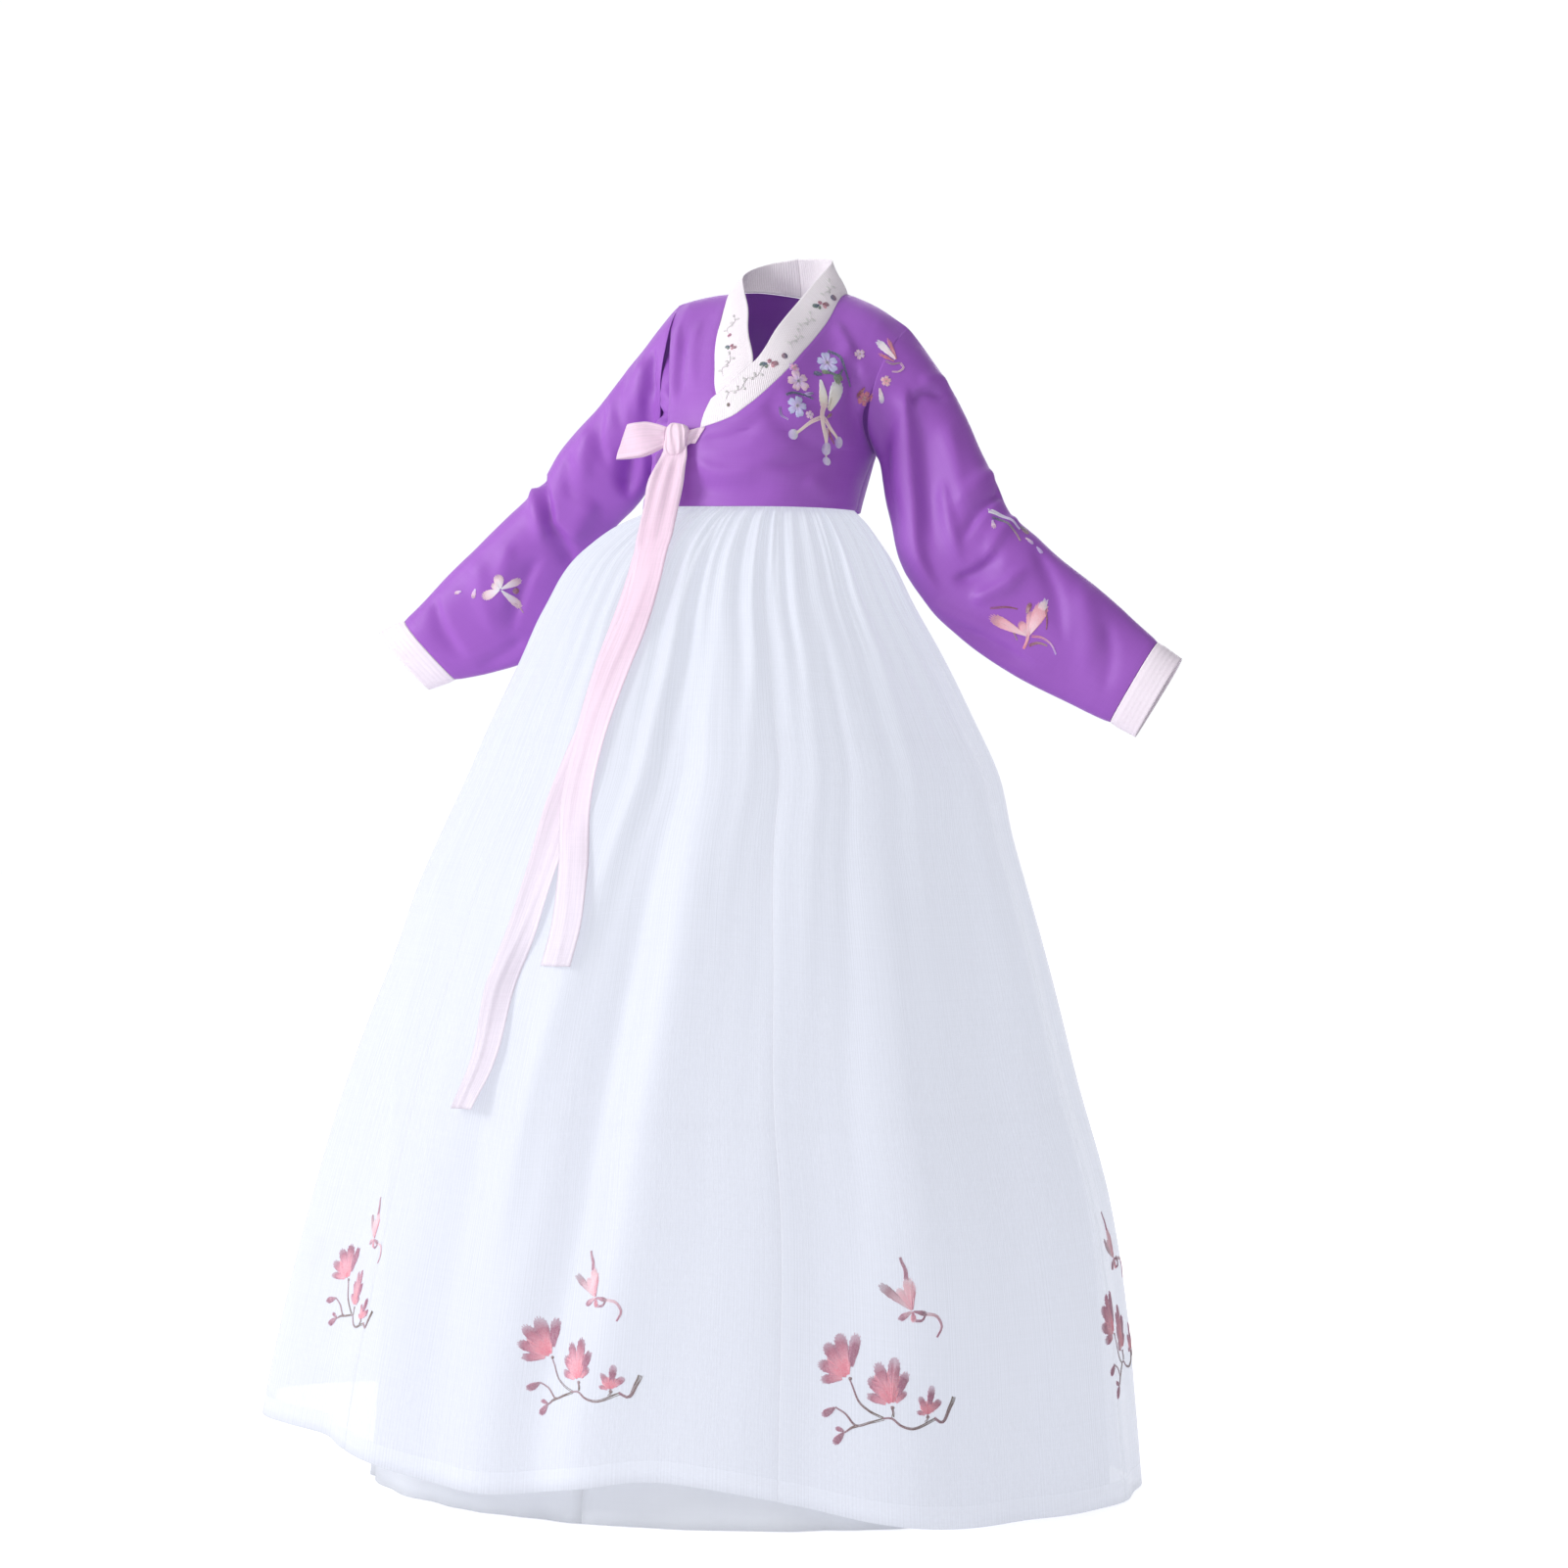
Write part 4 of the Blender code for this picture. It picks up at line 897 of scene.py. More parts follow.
@dataclass
class Cloth:
    """One piece of cloth on its way from a grid of points to a piece of the frame."""

    name: str
    nodes: tuple[str, ...]
    slot: str
    finish: Finish
    grid: np.ndarray
    flat: tuple[float, float]
    area: float | None = None
    held: Held = Held.DRAPED
    rests_on: tuple[str, ...] = ()
    wall: float = 0.0007
    closed: bool = False
    centre: np.ndarray | None = None
    sewn: str = ""  # edges that are drawn in along a seam, as `groove` names them
    groove_depth: float = 0.0007
    groove_width: float = 0.004

    def crease(self, creases: Sequence[Crease], uneven: float, size: float, seed: float) -> "Cloth":
        """Presses creases and unevenness into the grid.

        Args:
            creases: the ridges and troughs.
            uneven: height of the smooth unevenness.
            size: how wide it is.
            seed: where it is read.

        Returns:
            The piece itself.
        """
        normals = normals_of(self.grid, self.closed, self.inside())
        height = uneven * roughly(self.grid, size, seed)
        for one in creases:
            height = height + one.lift(self.grid, normals)
        self.grid = self.grid + height[..., None] * normals
        return self

    def inside(self) -> np.ndarray:
        """A point inside each row."""
        if self.centre is not None:
            return self.centre
        rows = len(self.grid)
        return np.column_stack([np.zeros(rows), np.zeros(rows), self.grid[:, :, 2].mean(axis=1)])

    def make(self) -> bpy.types.Object:
        """Builds the shell, with its faces outward, and hands it to the frame."""
        normals = normals_of(self.grid, self.closed, self.inside())
        grid = groove(self.grid, normals, self.sewn, self.groove_depth, self.groove_width)
        rows, columns = grid.shape[:2]
        steps = columns if self.closed else columns - 1
        j, i = np.meshgrid(np.arange(rows - 1), np.arange(steps), indexing="ij")
        i, j = i.ravel(), j.ravel()
        k = (i + 1) % columns
        low, high = j * columns, (j + 1) * columns
        faces = np.stack([low + i, low + k, high + k, high + i], 1)
        corners = ((i, j), (i + 1, j), (i + 1, j + 1), (i, j + 1))
        places = np.stack([np.stack([a / steps, b / (rows - 1)], -1) for a, b in corners], 1)
        row, column = rows // 2, columns // 3
        here = grid[row, column]
        if np.cross(here - grid[row, column + 1], here - grid[row + 1, column]) @ normals[row, column] < 0:
            faces, places = faces[:, ::-1], places[:, ::-1]
        mesh = bpy.data.meshes.new(self.name)
        mesh.from_pydata(grid.reshape(-1, 3).tolist(), [], faces.tolist())
        uv = mesh.uv_layers.new(name="cloth")
        uv.data.foreach_set("uv", (places * self.flat).astype(np.float32).ravel())
        mesh.shade_smooth()
        mesh.materials.append(self.finish.make())
        piece = placed(self.name, mesh)
        wall = piece.modifiers.new("wall", "SOLIDIFY")
        wall.thickness, wall.offset, wall.use_quality_normals = self.wall, -1, True
        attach(piece, "root")
        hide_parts(*self.nodes)
        LOG.info("%s: %d points", self.name, rows * columns)
        return piece


@dataclass
class Jacket:
    """The jeogori: two body halves, two sleeves with cuffs, and the collar's two bands."""

    form: JacketForm = field(default_factory=JacketForm)
    rows: int = 84
    columns: int = 84
    sleeve_rows: int = 140
    sleeve_columns: int = 112
    cuff_rows: int = 22
    # top x, y, z, bottom x, y, z, half depth, share of the depth kept at the bottom edge
    left_rings: tuple = milli(
        (172, 26, -77, 114, 12, -200, 50, 500), (190, 36, -105, 120, 4, -224, 47, 500),
        (216, 38, -152, 127, -1, -256, 45, 500), (236, 34, -194, 139, -6, -296, 43, 450),
        (254, 29, -231, 154, -6, -334, 42, 450), (270, 29, -262, 176, -3, -368, 41, 400),
        (304, 36, -293, 208, 3, -402, 40, 400), (342, 43, -327, 251, 12, -436, 38, 400),
        (383, 51, -362, 304, 25, -467, 36, 450), (414, 56, -391, 350, 34, -490, 33, 500),
        (439, 58, -414, 386, 41, -507, 30, 550),
    )
    right_rings: tuple = milli(
        (-160, -6, -42, -166, 18, -200, 50, 500), (-184, -7, -72, -178, 22, -222, 47, 500),
        (-238, -4, -133, -198, 27, -246, 45, 500), (-283, -2, -180, -221, 32, -266, 42, 450),
        (-309, 3, -217, -240, 32, -287, 41, 450), (-350, 2, -254, -268, 31, -325, 40, 400),
        (-394, -2, -296, -297, 30, -372, 38, 400), (-431, -5, -331, -330, 28, -424, 36, 400),
        (-462, -8, -362, -378, 20, -443, 33, 500), (-482, -9, -380, -423, 10, -452, 30, 550),
    )
    left_body_creases: tuple = pressed(
        Side.FRONT,
        ((94, -70, 103, -105, 106, -150, 101, -196), 11, -11, 0.6),
        ((88, -60, 91, -105, 84, -150), 12, 3.4), ((70, -34, 92, -66, 106, -104), 8, 4, 0.5),
        ((-72, -200, -30, -218, 30, -207), 11, 3.8, 0.6), ((-85, -236, -20, -243, 60, -228), 9, -3.4, 1.4),
        ((96, -185, 60, -206, 15, -213), 9, -4, 0.7), ((30, -118, 62, -150, 94, -166), 10, 3.4, 0.6),
        ((18, -135, 45, -170, 82, -192), 8, -2.8), ((-62, -182, -20, -178, 22, -160), 9, -2.8, 0.6),
        ((-30, -165, 5, -150, 30, -126), 6, 1.8), ((60, -222, 75, -238, 86, -256), 9, 2.6),
    ) + pressed(
        Side.BACK,
        ((110, -70, 90, -110, 96, -160), 10, -6, 0.6), ((100, -190, 50, -215, 10, -222), 10, 4.2, 0.6),
        ((20, -60, 50, -130, 90, -190), 11, -4.4), ((40, -30, 70, -80, 105, -110), 10, 3.8, 0.5),
        ((5, -150, 40, -178, 85, -180), 9, -3.2),
    )
    right_body_creases: tuple = pressed(
        Side.FRONT,
        ((-139, -26, -128, -85, -113, -152), 6.5, -8.5, 0.6),
        ((-119, -26, -110, -90, -97, -148), 10, 4.4, 0.5), ((-137, -116, -124, -146, -114, -178), 8, -7.5),
        ((-125, -96, -122, -124, -121, -154), 6, -12, 1.0, 0.2, 0.1),
        ((-152, -134, -137, -142, -121, -149), 5, -8, 1.0, 0.2, 0.1),
        ((-126, -182, -145, -212, -160, -242), 7, -9, 1.0, 0.1, 0.2),
        ((-92, -26, -86, -80, -70, -124), 11, 3, 0.6), ((-104, -40, -100, -90, -88, -140), 6, -3),
        ((-152, -170, -120, -200, -88, -215), 9, 4.2, 0.6), ((-152, -195, -120, -225, -90, -240), 8, -4.2),
    ) + pressed(
        Side.BACK,
        ((-120, -70, -100, -120, -110, -170), 10, -5.6, 0.6), ((-140, -190, -90, -215, -40, -220), 10, 4.2),
        ((-30, -50, -70, -130, -120, -200), 11, -4.2, 0.6), ((-50, -20, -80, -70, -125, -90), 10, 3.6),
        ((-10, -140, -50, -172, -100, -180), 9, -3),
    )
    left_sleeve_creases: tuple = pressed(
        Side.FRONT,
        ((153, -108, 159, -178, 166, -250, 176, -322, 200, -364), 19, 10.5, 0.36, 0.12, 0.22),
        ((171, -140, 178, -200, 186, -262, 197, -325), 10, -6, 2.2),
        ((127, -170, 134, -240, 150, -310), 9, -4.8), ((158, -132, 178, -121, 205, -128), 6, -6, 0.5, 0.15),
        ((168, -110, 192, -104, 212, -116), 8, 4), ((200, -150, 212, -205, 222, -262), 13, 4.2, 0.7),
        ((196, -215, 208, -270, 224, -330), 10, 5.2, 0.6),
        ((228, -366, 262, -352, 300, -326), 10, 6.8, 0.6), ((208, -342, 240, -332, 270, -302), 10, -8, 0.5),
        ((268, -232, 246, -258, 222, -300), 8, -6.2, 0.5, 0.1),
        ((254, -210, 230, -236, 212, -262), 9, 4.4, 1.0, 0.1),
        ((282, -262, 262, -292, 250, -330), 7, 3.6, 1.0, 0.1),
        ((300, -295, 328, -350, 340, -425), 10, -4.6, 0.6), ((352, -340, 367, -400, 360, -462), 11, 3.8),
        ((385, -385, 392, -430, 380, -480), 8, -3.4), ((200, -388, 250, -412, 310, -446), 9, -4.6, 0.6),
        ((180, -366, 216, -384, 262, -398), 7, 3.2),
    ) + pressed(
        Side.BACK,
        ((165, -110, 180, -200, 200, -300), 16, -9.5, 0.4), ((190, -150, 205, -220, 225, -290), 11, 5),
        ((262, -246, 236, -300, 205, -350), 9, -7, 0.5), ((290, -300, 262, -350, 235, -390), 9, 5),
        ((330, -350, 350, -400, 340, -460), 10, -4.2),
    )
    right_sleeve_creases: tuple = pressed(
        Side.FRONT,
        ((-306, -206, -292, -246, -289, -286), 7, -9.5, 0.6, 0.06),
        ((-318, -222, -306, -262, -302, -296), 8, 5.2, 1.0, 0.06),
        ((-288, -262, -277, -295, -265, -324), 11, -8.5, 0.5),
        ((-272, -290, -254, -262, -236, -232), 9, 6.2, 1.5),
        ((-180, -172, -190, -206, -203, -240), 11, -10, 0.6),
        ((-150, -58, -151, -95, -149, -132), 6, -6, 0.5), ((-166, -66, -171, -105, -172, -144), 9, 4.4),
        ((-190, -84, -198, -126, -192, -165), 7, -3.4),
        ((-215, -120, -222, -165, -214, -207), 10, -4.4, 0.5),
        ((-236, -148, -246, -190, -240, -222), 10, 4.2), ((-262, -178, -266, -214, -258, -244), 8, -3.4),
        ((-303, -300, -330, -345, -350, -402), 10, -4.8, 0.5),
        ((-340, -282, -352, -330, -352, -380), 10, 3.6), ((-386, -302, -376, -350, -364, -407), 10, 4, 1.4),
        ((-440, -345, -425, -395, -400, -434), 10, -5.2, 0.6),
        ((-330, -400, -362, -424, -398, -440), 7, -3.6),
    ) + pressed(
        Side.BACK,
        ((-180, -100, -200, -160, -205, -215), 14, -8.5, 0.4),
        ((-302, -212, -285, -260, -262, -300), 9, -7.2, 0.5), ((-330, -245, -312, -290, -290, -330), 10, 5),
        ((-370, -290, -385, -350, -375, -420), 10, -4.4), ((-230, -150, -245, -200, -250, -240), 10, 4.8),
    )

    def make(self) -> dict[str, bpy.types.Object]:
        """Builds every piece of the jacket, by name."""
        made: dict[str, bpy.types.Object] = {}
        for left, side in ((True, "left"), (False, "right")):
            grid, v, shoulder = self.form.half(left, self.rows, self.columns)
            strip = self.form.collar(left, grid, v, shoulder)
            names = f"jacket_{side}_satin", (f"jacket_{side}",), "violet_satin"
            below = ("skirt_band_cloth",)
            body = Cloth(*names, SATIN, grid, (0.25, 0.56), 0.105, rests_on=below, sewn="fl")
            creases = self.left_body_creases if left else self.right_body_creases
            made[body.name] = body.crease(creases, 0.0016, 0.05, 3.1 if left else 8.4).make()
            names = f"collar_{side}_band", (f"collar_{side}",), "collar_cloth"
            flat, hold = (0.042, 0.34 if left else 0.28), (None, Held.FOLDED, (body.name,))
            band = Cloth(*names, COLLAR, strip, flat, *hold, wall=0.0012, sewn="f")
            made[band.name] = band.crease((), 0.0006, 0.03, 5.2).make()
            made.update(self.arm(left, side))
        return made

    def arm(self, left: bool, side: str) -> dict[str, bpy.types.Object]:
        """Builds one sleeve and its cuff.

        Args:
            left: whether it is the wearer's left arm.
            side: its name.

        Returns:
            The two pieces by name.
        """
        form = SleeveForm(left, self.left_rings if left else self.right_rings)
        rings = form.grid(self.form, self.sleeve_rows, self.sleeve_columns)
        nodes = tuple(f"sleeve_{stretch}_{side}" for stretch in ("upper", "middle", "lower"))
        names = f"sleeve_{side}_satin", nodes, "violet_satin"
        hold = {"rests_on": (f"jacket_{side}_satin",), "closed": True, "centre": rings.mean(axis=1)}
        sleeve = Cloth(*names, SATIN, rings, (0.34, 0.50), 0.145, sewn="tb", **hold)
        creases = self.left_sleeve_creases if left else self.right_sleeve_creases
        sleeve.crease(creases, 0.0020, 0.055, 1.7 if left else 6.3)
        bands = form.cuff(sleeve.grid[-2:], self.cuff_rows)
        names = f"cuff_{side}_band", (f"cuff_{side}",), "collar_cloth"
        hold = {"rests_on": (sleeve.name,), "closed": True, "centre": bands.mean(axis=1)}
        cuff = Cloth(*names, CUFF, bands, (0.25, 0.034), None, Held.FOLDED, wall=0.0011, sewn="t", **hold)
        return {sleeve.name: sleeve.make(), cuff.name: cuff.make()}


@dataclass
class Skirt:
    """The chima: chest band, six gathered widths of organza and the plain inner layer."""

    form: SkirtForm = field(default_factory=SkirtForm)
    widths: int = 6
    columns: int = 110
    rows: int = 104
    flat: tuple[float, float] = (0.60, 1.14)
    quarters: tuple[str, ...] = ("front_left", "front_right", "back_right", "back_left")
    panel_columns: int = 45
    panel_rows: int = 26
    # name, start and end as shares of the inner layer's length, flat width and length of a panel
    tiers: tuple = (
        ("upper", 0.0, 0.25, (0.33, 0.35)),
        ("middle", 0.25, 0.62, (0.56, 0.45)),
        ("lower", 0.62, 1.0, (0.68, 0.45)),
    )

    def make(self) -> dict[str, bpy.types.Object]:
        """Builds every piece of the skirt, by name."""
        pieces = [self.width(number) for number in range(self.widths)]
        for tier, *ends, flat in self.tiers:
            for number, place in enumerate(self.quarters):
                pieces.append(self.lining(number, f"{tier}_{place}", ends, flat))
        pieces.append(self.band())
        return {piece.name: piece for piece in pieces}

    def width(self, number: int) -> bpy.types.Object:
        """One width of organza, from its gathers at the band to its hem."""
        each = 2 * np.pi / self.widths
        turn = (number + shares(self.columns, 0.015)) * each + np.pi / self.form.gathers
        hem = self.form.hem_height(turn)
        share = (np.linspace(0, 1, self.rows) ** 1.45)[:, None]
        z = self.form.top + share * (hem - self.form.top)
        grid = self.form.point(np.broadcast_to(turn, z.shape), z, fine=1.0)
        names = f"skirt_width_{number + 1}_organza", (f"skirt_width_{number + 1}",), "organza"
        seam = {"sewn": "fl", "groove_depth": 0.0010, "groove_width": 0.005}
        hold = Held.GATHERED, ("skirt_band_cloth",)
        return Cloth(*names, ORGANZA, grid, self.flat, 0.51, *hold, wall=0.0004, **seam).make()

    def lining(
        self, number: int, place: str, ends: Sequence[float], flat: tuple[float, float]
    ) -> bpy.types.Object:
        """One panel of a tier of the inner layer, which hangs down to the floor.

        Args:
            number: its quarter, from the front left.
            place: its name.
            ends: shares of the layer's length where the tier starts and ends.
            flat: its flat width and length.

        Returns:
            The piece.
        """
        turn = np.linspace(0, np.pi / 2, self.panel_columns) + number * np.pi / 2
        share = np.linspace(*ends, self.panel_rows)[:, None]
        z = self.form.top + share * (self.form.under_hem - self.form.top)
        z = np.broadcast_to(z, (self.panel_rows, self.panel_columns))
        spread = ((1 - np.cos(turn)) / 2) ** 2
        inward = 0.0085 + 0.0095 * ease(share, 0.01, 0.2) + 0.010 * ease(share, 0.6, 1.0)
        inward = inward + 0.12 * spread * ease(share, 0.35, 1.0)
        fall = 0.0028 * ease(share, 0.1, 0.5) * np.sin(23 * turn + 1.3 * np.sin(5 * turn) + 2 * share)
        fall = fall + 0.0016 * ease(share, 0.05, 0.2) * np.sin(41 * turn + 2 * np.sin(7 * turn))
        grid = self.form.point(turn, z, inward - fall + 0.002, folds=0.0, gathers=0.0)
        names = f"underskirt_{place}_cloth", (f"underskirt_{place}",), "underskirt_cloth"
        hold = Held.GATHERED, ("skirt_band_cloth",)
        return Cloth(*names, LINING, grid, flat, None, *hold, sewn="fltb").make()

    def band(self) -> bpy.types.Object:
        """The chest band above the gathers."""
        turn = np.linspace(0, 2 * np.pi, 96, endpoint=False)
        top, foot, inward = -0.165, -0.2352, 0.004
        z = np.linspace(top, foot, 12)[:, None]
        grid = self.form.point(turn, z, inward, folds=0.0, gathers=0.0)
        ring = {"wall": 0.0014, "closed": True, "centre": grid.mean(axis=1)}
        names = "skirt_band_cloth", ("skirt_band",), "organza"
        return Cloth(*names, LINING, grid, (0.68, 0.071), **ring).make()


@dataclass
class Tie:
    """The ribbon tie: stub, knot, one loop and two hanging ends."""

    skirt: SkirtForm
    jacket: JacketForm
    knot: Sequence[float] = (-0.086, -0.143, -0.178)
    knot_size: tuple[float, float, float] = (0.016, 0.011, 0.021)
    knot_foot: float = -0.1993
    wall: float = 0.0014
    loop_reach: float = 0.055
    loop_width: float = 0.040
    sewn: float = 0.0003
    stub_start: tuple[float, float] = (-0.056, -0.062)
    stub_height: float = -0.176
    # z, x of the middle, width, lift off the cloth below
    short_end: tuple = milli(
        (-188, -84, 26, 16), (-199.3, -86, 31, 16), (-225, -91, 38, 15), (-262, -98, 40, 14),
        (-300, -104, 42, 12), (-342, -105, 42, 10), (-395, -111, 42, 9), (-455, -125, 42, 9),
        (-530, -141, 42, 9), (-605, -149, 42, 9), (-680, -141, 42, 9), (-737, -141, 42, 9),
        (-782, -150, 41, 9),
    )
    long_end: tuple = milli(
        (-190, -89, 20, 11), (-199.3, -92, 23, 11), (-225, -100, 34, 10), (-262, -103, 38, 9),
        (-300, -109, 40, 7), (-342, -111, 42, 5), (-395, -118, 42, 5), (-455, -132, 42, 5),
        (-530, -150, 42, 5), (-605, -170, 42, 5), (-680, -187, 41, 5), (-740, -204, 40, 5),
        (-802, -226, 36, 5), (-883, -239, 33, 6), (-943, -260, 29, 8),
    )

    def pinch(self, height: np.ndarray) -> np.ndarray:
        """How the knot is drawn in round its middle; the height is a share of its half height."""
        return 1 - 0.12 * (1 - np.minimum(1.0, np.abs(height) * 1.6))

    def knot_side(self, rise: np.ndarray, forward: Any) -> np.ndarray:
        """Half width of the knot at this height and depth from its middle."""
        height = np.clip(np.asarray(rise, float) / self.knot_size[2], -1, 1)
        size = np.sqrt(1 - height**2) * self.pinch(height)
        deep = np.clip(forward / (self.knot_size[1] * size), -1, 1)
        return self.knot_size[0] * size * np.sqrt(1 - deep**2)

    def make(self) -> dict[str, bpy.types.Object]:
        """Builds the five pieces, by name."""
        before = np.array([self.knot[0], 0.5, self.knot[2]])
        made = {"tie_knot_ribbon": self.bound()}
        short = self.tail(self.short_end, 0.0032, 0.17, 1.3)
        long = self.tail(self.long_end, 0.0015, 0.13, 4.6)
        for name, node, grid, flat in (
            ("tie_stub_ribbon", "tie_strap", self.stub(), (0.020, 0.022)),
            ("tie_short_end_ribbon", "tie_tail_short", short, (0.042, 0.62)),
            ("tie_long_end_ribbon", "tie_tail_long", long, (0.042, 0.80)),
        ):
            made[name] = self.ribbon(name, node, grid, flat, np.tile(before, (len(grid), 1)))
        loop = self.loop()
        inside = np.tile([loop[:, :, 0].mean(), self.knot[1], self.knot[2]], (len(loop), 1))
        made["tie_loop_ribbon"] = self.ribbon("tie_loop_ribbon", "tie_loop", loop, (0.040, 0.125), inside)
        return made

    def ribbon(
        self, name: str, node: str, grid: np.ndarray, flat: tuple[float, float], centre: np.ndarray
    ) -> bpy.types.Object:
        """Makes one stretch of ribbon a piece."""
        below = "jacket_left_satin" if node == "tie_strap" else "tie_knot_ribbon"
        names, hold = (name, (node,), "tie_ribbon"), (None, Held.HUNG, (below,))
        return Cloth(*names, RIBBON, grid, flat, *hold, wall=0.0005, centre=centre).make()

    def tail(self, table: tuple, start: float, slope: float, seed: float) -> np.ndarray:
        """Lays a hanging end over the skirt.

        Args:
            table: its z, x, width and lift.
            start: how far before the knot's middle it starts.
            slope: how fast it comes forward below the knot.
            seed: places its ripples.

        Returns:
            The grid, rows down its length.
        """
        columns, rows = 15, 150
        table = np.array(table)
        z = np.linspace(table[0, 0], table[-1, 0], rows)
        x, width, lift = np.moveaxis(through(np.column_stack([-table[:, 0], table[:, 1:]]), -z), -1, 0)
        across = np.linspace(-0.5, 0.5, columns)[None]
        place = x[:, None] + width[:, None] * across
        height = np.broadcast_to(z[:, None], place.shape)
        depth = self.knot_foot - height
        hang = self.knot[1] - start - slope * np.maximum(depth, 0.0)
        y = np.minimum(self.skirt.front_y(place, height) - lift[:, None], hang)
        pleat = 0.0030 * np.exp(-np.abs(depth) / 0.07) * np.cos(2 * np.pi * across * 2.2 + seed)
        cup = 0.0022 * (np.sin(depth * 21 + seed) + 0.6 * np.sin(depth * 47 + 2 * seed)) * (across * 2) ** 2
        roll = 0.0026 * np.sin(depth * 33 + 2.2 * seed) * across * 2
        ridge = np.exp(-(((across - 0.18 * np.sin(9 * depth + seed)) / 0.09) ** 2))
        ridge = 0.0022 * ridge * ease(depth, 0.05, 0.2)
        curl = 0.010 * ease(depth, 0.70, 0.745) * np.exp(-(((across - 0.5) / 0.5) ** 2))
        cup = cup + ridge + curl
        grow = ease(depth, -0.004, 0.02)
        return np.stack([place, y - grow * (0.0018 + pleat + cup + roll), height], -1)

    def loop(self) -> np.ndarray:
        """Lays out the bow's loop, from the knot and back."""
        turn = np.radians(np.linspace(-152, 152, 90))
        wide = 1 - 0.45 * ease(np.abs(turn), 1.4, 2.7)
        across = np.linspace(-0.5, 0.5, 17)
        depth = -0.0105 * np.sin(turn) * (0.45 + 0.55 * np.cos(turn / 2)) + 0.001
        end = np.where(turn < 0, depth[0] - self.wall, depth[-1] + self.wall)
        rise = 0.002 + self.loop_width * wide[0] * across
        start = self.knot[0] - self.knot_side(rise[None], end[:, None]) + 0.002
        reach = self.loop_reach * (np.cos(turn) - np.cos(turn[0])) / (1 - np.cos(turn[0]))
        x = start - reach[:, None] * (1 - 0.20 * across[None])
        z = self.knot[2] + 0.002 - 0.10 * reach[:, None] + self.loop_width * wide[:, None] * across[None]
        near = np.exp(-reach / 0.018)[:, None]
        fold = 0.0016 * near * np.cos(2 * np.pi * across[None] * 2.2 + 0.6)
        sag = 0.0024 * (1 - near) * np.sin(np.pi * across[None] * 1.4 + 3 * turn[:, None])
        y = self.knot[1] + depth[:, None] + (fold + sag) * ease(reach, 0.0, 0.006)[:, None]
        return np.stack([x, np.broadcast_to(y, z.shape), z], -1)

    def stub(self) -> np.ndarray:
        """Lays out the ribbon stub, from the collar's end to the knot."""
        sides = np.linspace(-1, 1, 11)
        sewn = []
        for x in np.linspace(*self.stub_start, 4):
            places = [(x + 0.006 * a, self.stub_height + 0.009 * a) for a in sides]
            s, v = np.array([self.jacket.place_of(*place) for place in places]).T
            off = (self.wall + self.sewn) * self.jacket.normal(s, v)
            sewn.append(self.jacket.front_left(s, v) + off)
        rise = -0.003 + 0.010 * sides
        forward = np.full(len(sides), self.knot[1] + 0.001)
        side = self.knot[0] + self.knot_side(rise, 0.0) - 0.003
        end = np.column_stack([side, forward, self.knot[2] + rise])
        between = []
        for t in np.linspace(0.1, 0.9, 12):
            fold = (0.0010 * np.cos(7 * sides) - 0.0025) * np.sin(np.pi * t)
            between.append(sewn[-1] + (end - sewn[-1]) * t + fold[:, None] * (0, 1, 0))
        return np.array(sewn + between + [end])

    def bound(self) -> bpy.types.Object:
        """The knot: the ribbon wound over itself, in slanting pleats."""
        rows, columns = 61, 96
        down = np.linspace(0, np.pi, rows)[:, None]
        around = np.linspace(0, 2 * np.pi, columns, endpoint=False)[None]
        height = np.cos(down)
        slant = 5.2 * np.cos(around) + 1.7 * height
        pleat = 1 - 0.17 * np.abs(np.cos(slant)) ** 3 - 0.04 * np.abs(np.cos(2.3 * slant + 1)) ** 3
        pleat = 1 - (1 - pleat) * ease(np.sin(down), 0.05, 0.4)
        size = np.sin(down) ** 0.5 * self.pinch(height)
        lean = 0.0035 * height + 0.0015
        wide = np.sign(np.cos(around)) * np.abs(np.cos(around)) ** 0.7
        deep = np.sign(np.sin(around)) * np.abs(np.sin(around)) ** 0.6
        x = self.knot[0] + lean + 0.94 * self.knot_size[0] * size * wide
        y = self.knot[1] + 0.85 * self.knot_size[1] * size * pleat * deep
        low = self.knot[2] - 0.0015 - 0.20 * (x - self.knot[0]) * ease(height, 0.0, 1.0)
        z = low + 0.90 * self.knot_size[2] * height
        points = np.stack([x, y, z], -1)
        verts = [points[0, 0]] + list(points[1:-1].reshape(-1, 3)) + [points[-1, 0]]
        faces = []
        last = 1 + (rows - 3) * columns
        for i in range(columns):
            k = (i + 1) % columns
            faces.append((0, 1 + i, 1 + k))
            faces.append((len(verts) - 1, last + k, last + i))
            for j in range(rows - 3):
                a = 1 + j * columns
                faces.append((a + i, a + columns + i, a + columns + k, a + k))
        mesh = bpy.data.meshes.new("tie_knot_ribbon")
        mesh.from_pydata([tuple(p) for p in verts], [], faces)
        uv = mesh.uv_layers.new(name="cloth")
        for loop in mesh.loops:
            place = mesh.vertices[loop.vertex_index].co
            uv.data[loop.index].uv = (place.x - self.knot[0] + 0.02, place.z - self.knot[2] + 1.0)
        mesh.shade_smooth()
        mesh.materials.append(KNOT_RIBBON.make())
        piece = placed("tie_knot_ribbon", mesh)
        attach(piece, "root")
        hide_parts("tie_knot")
        return piece


# ---------------------------------------------------------------- embroidery

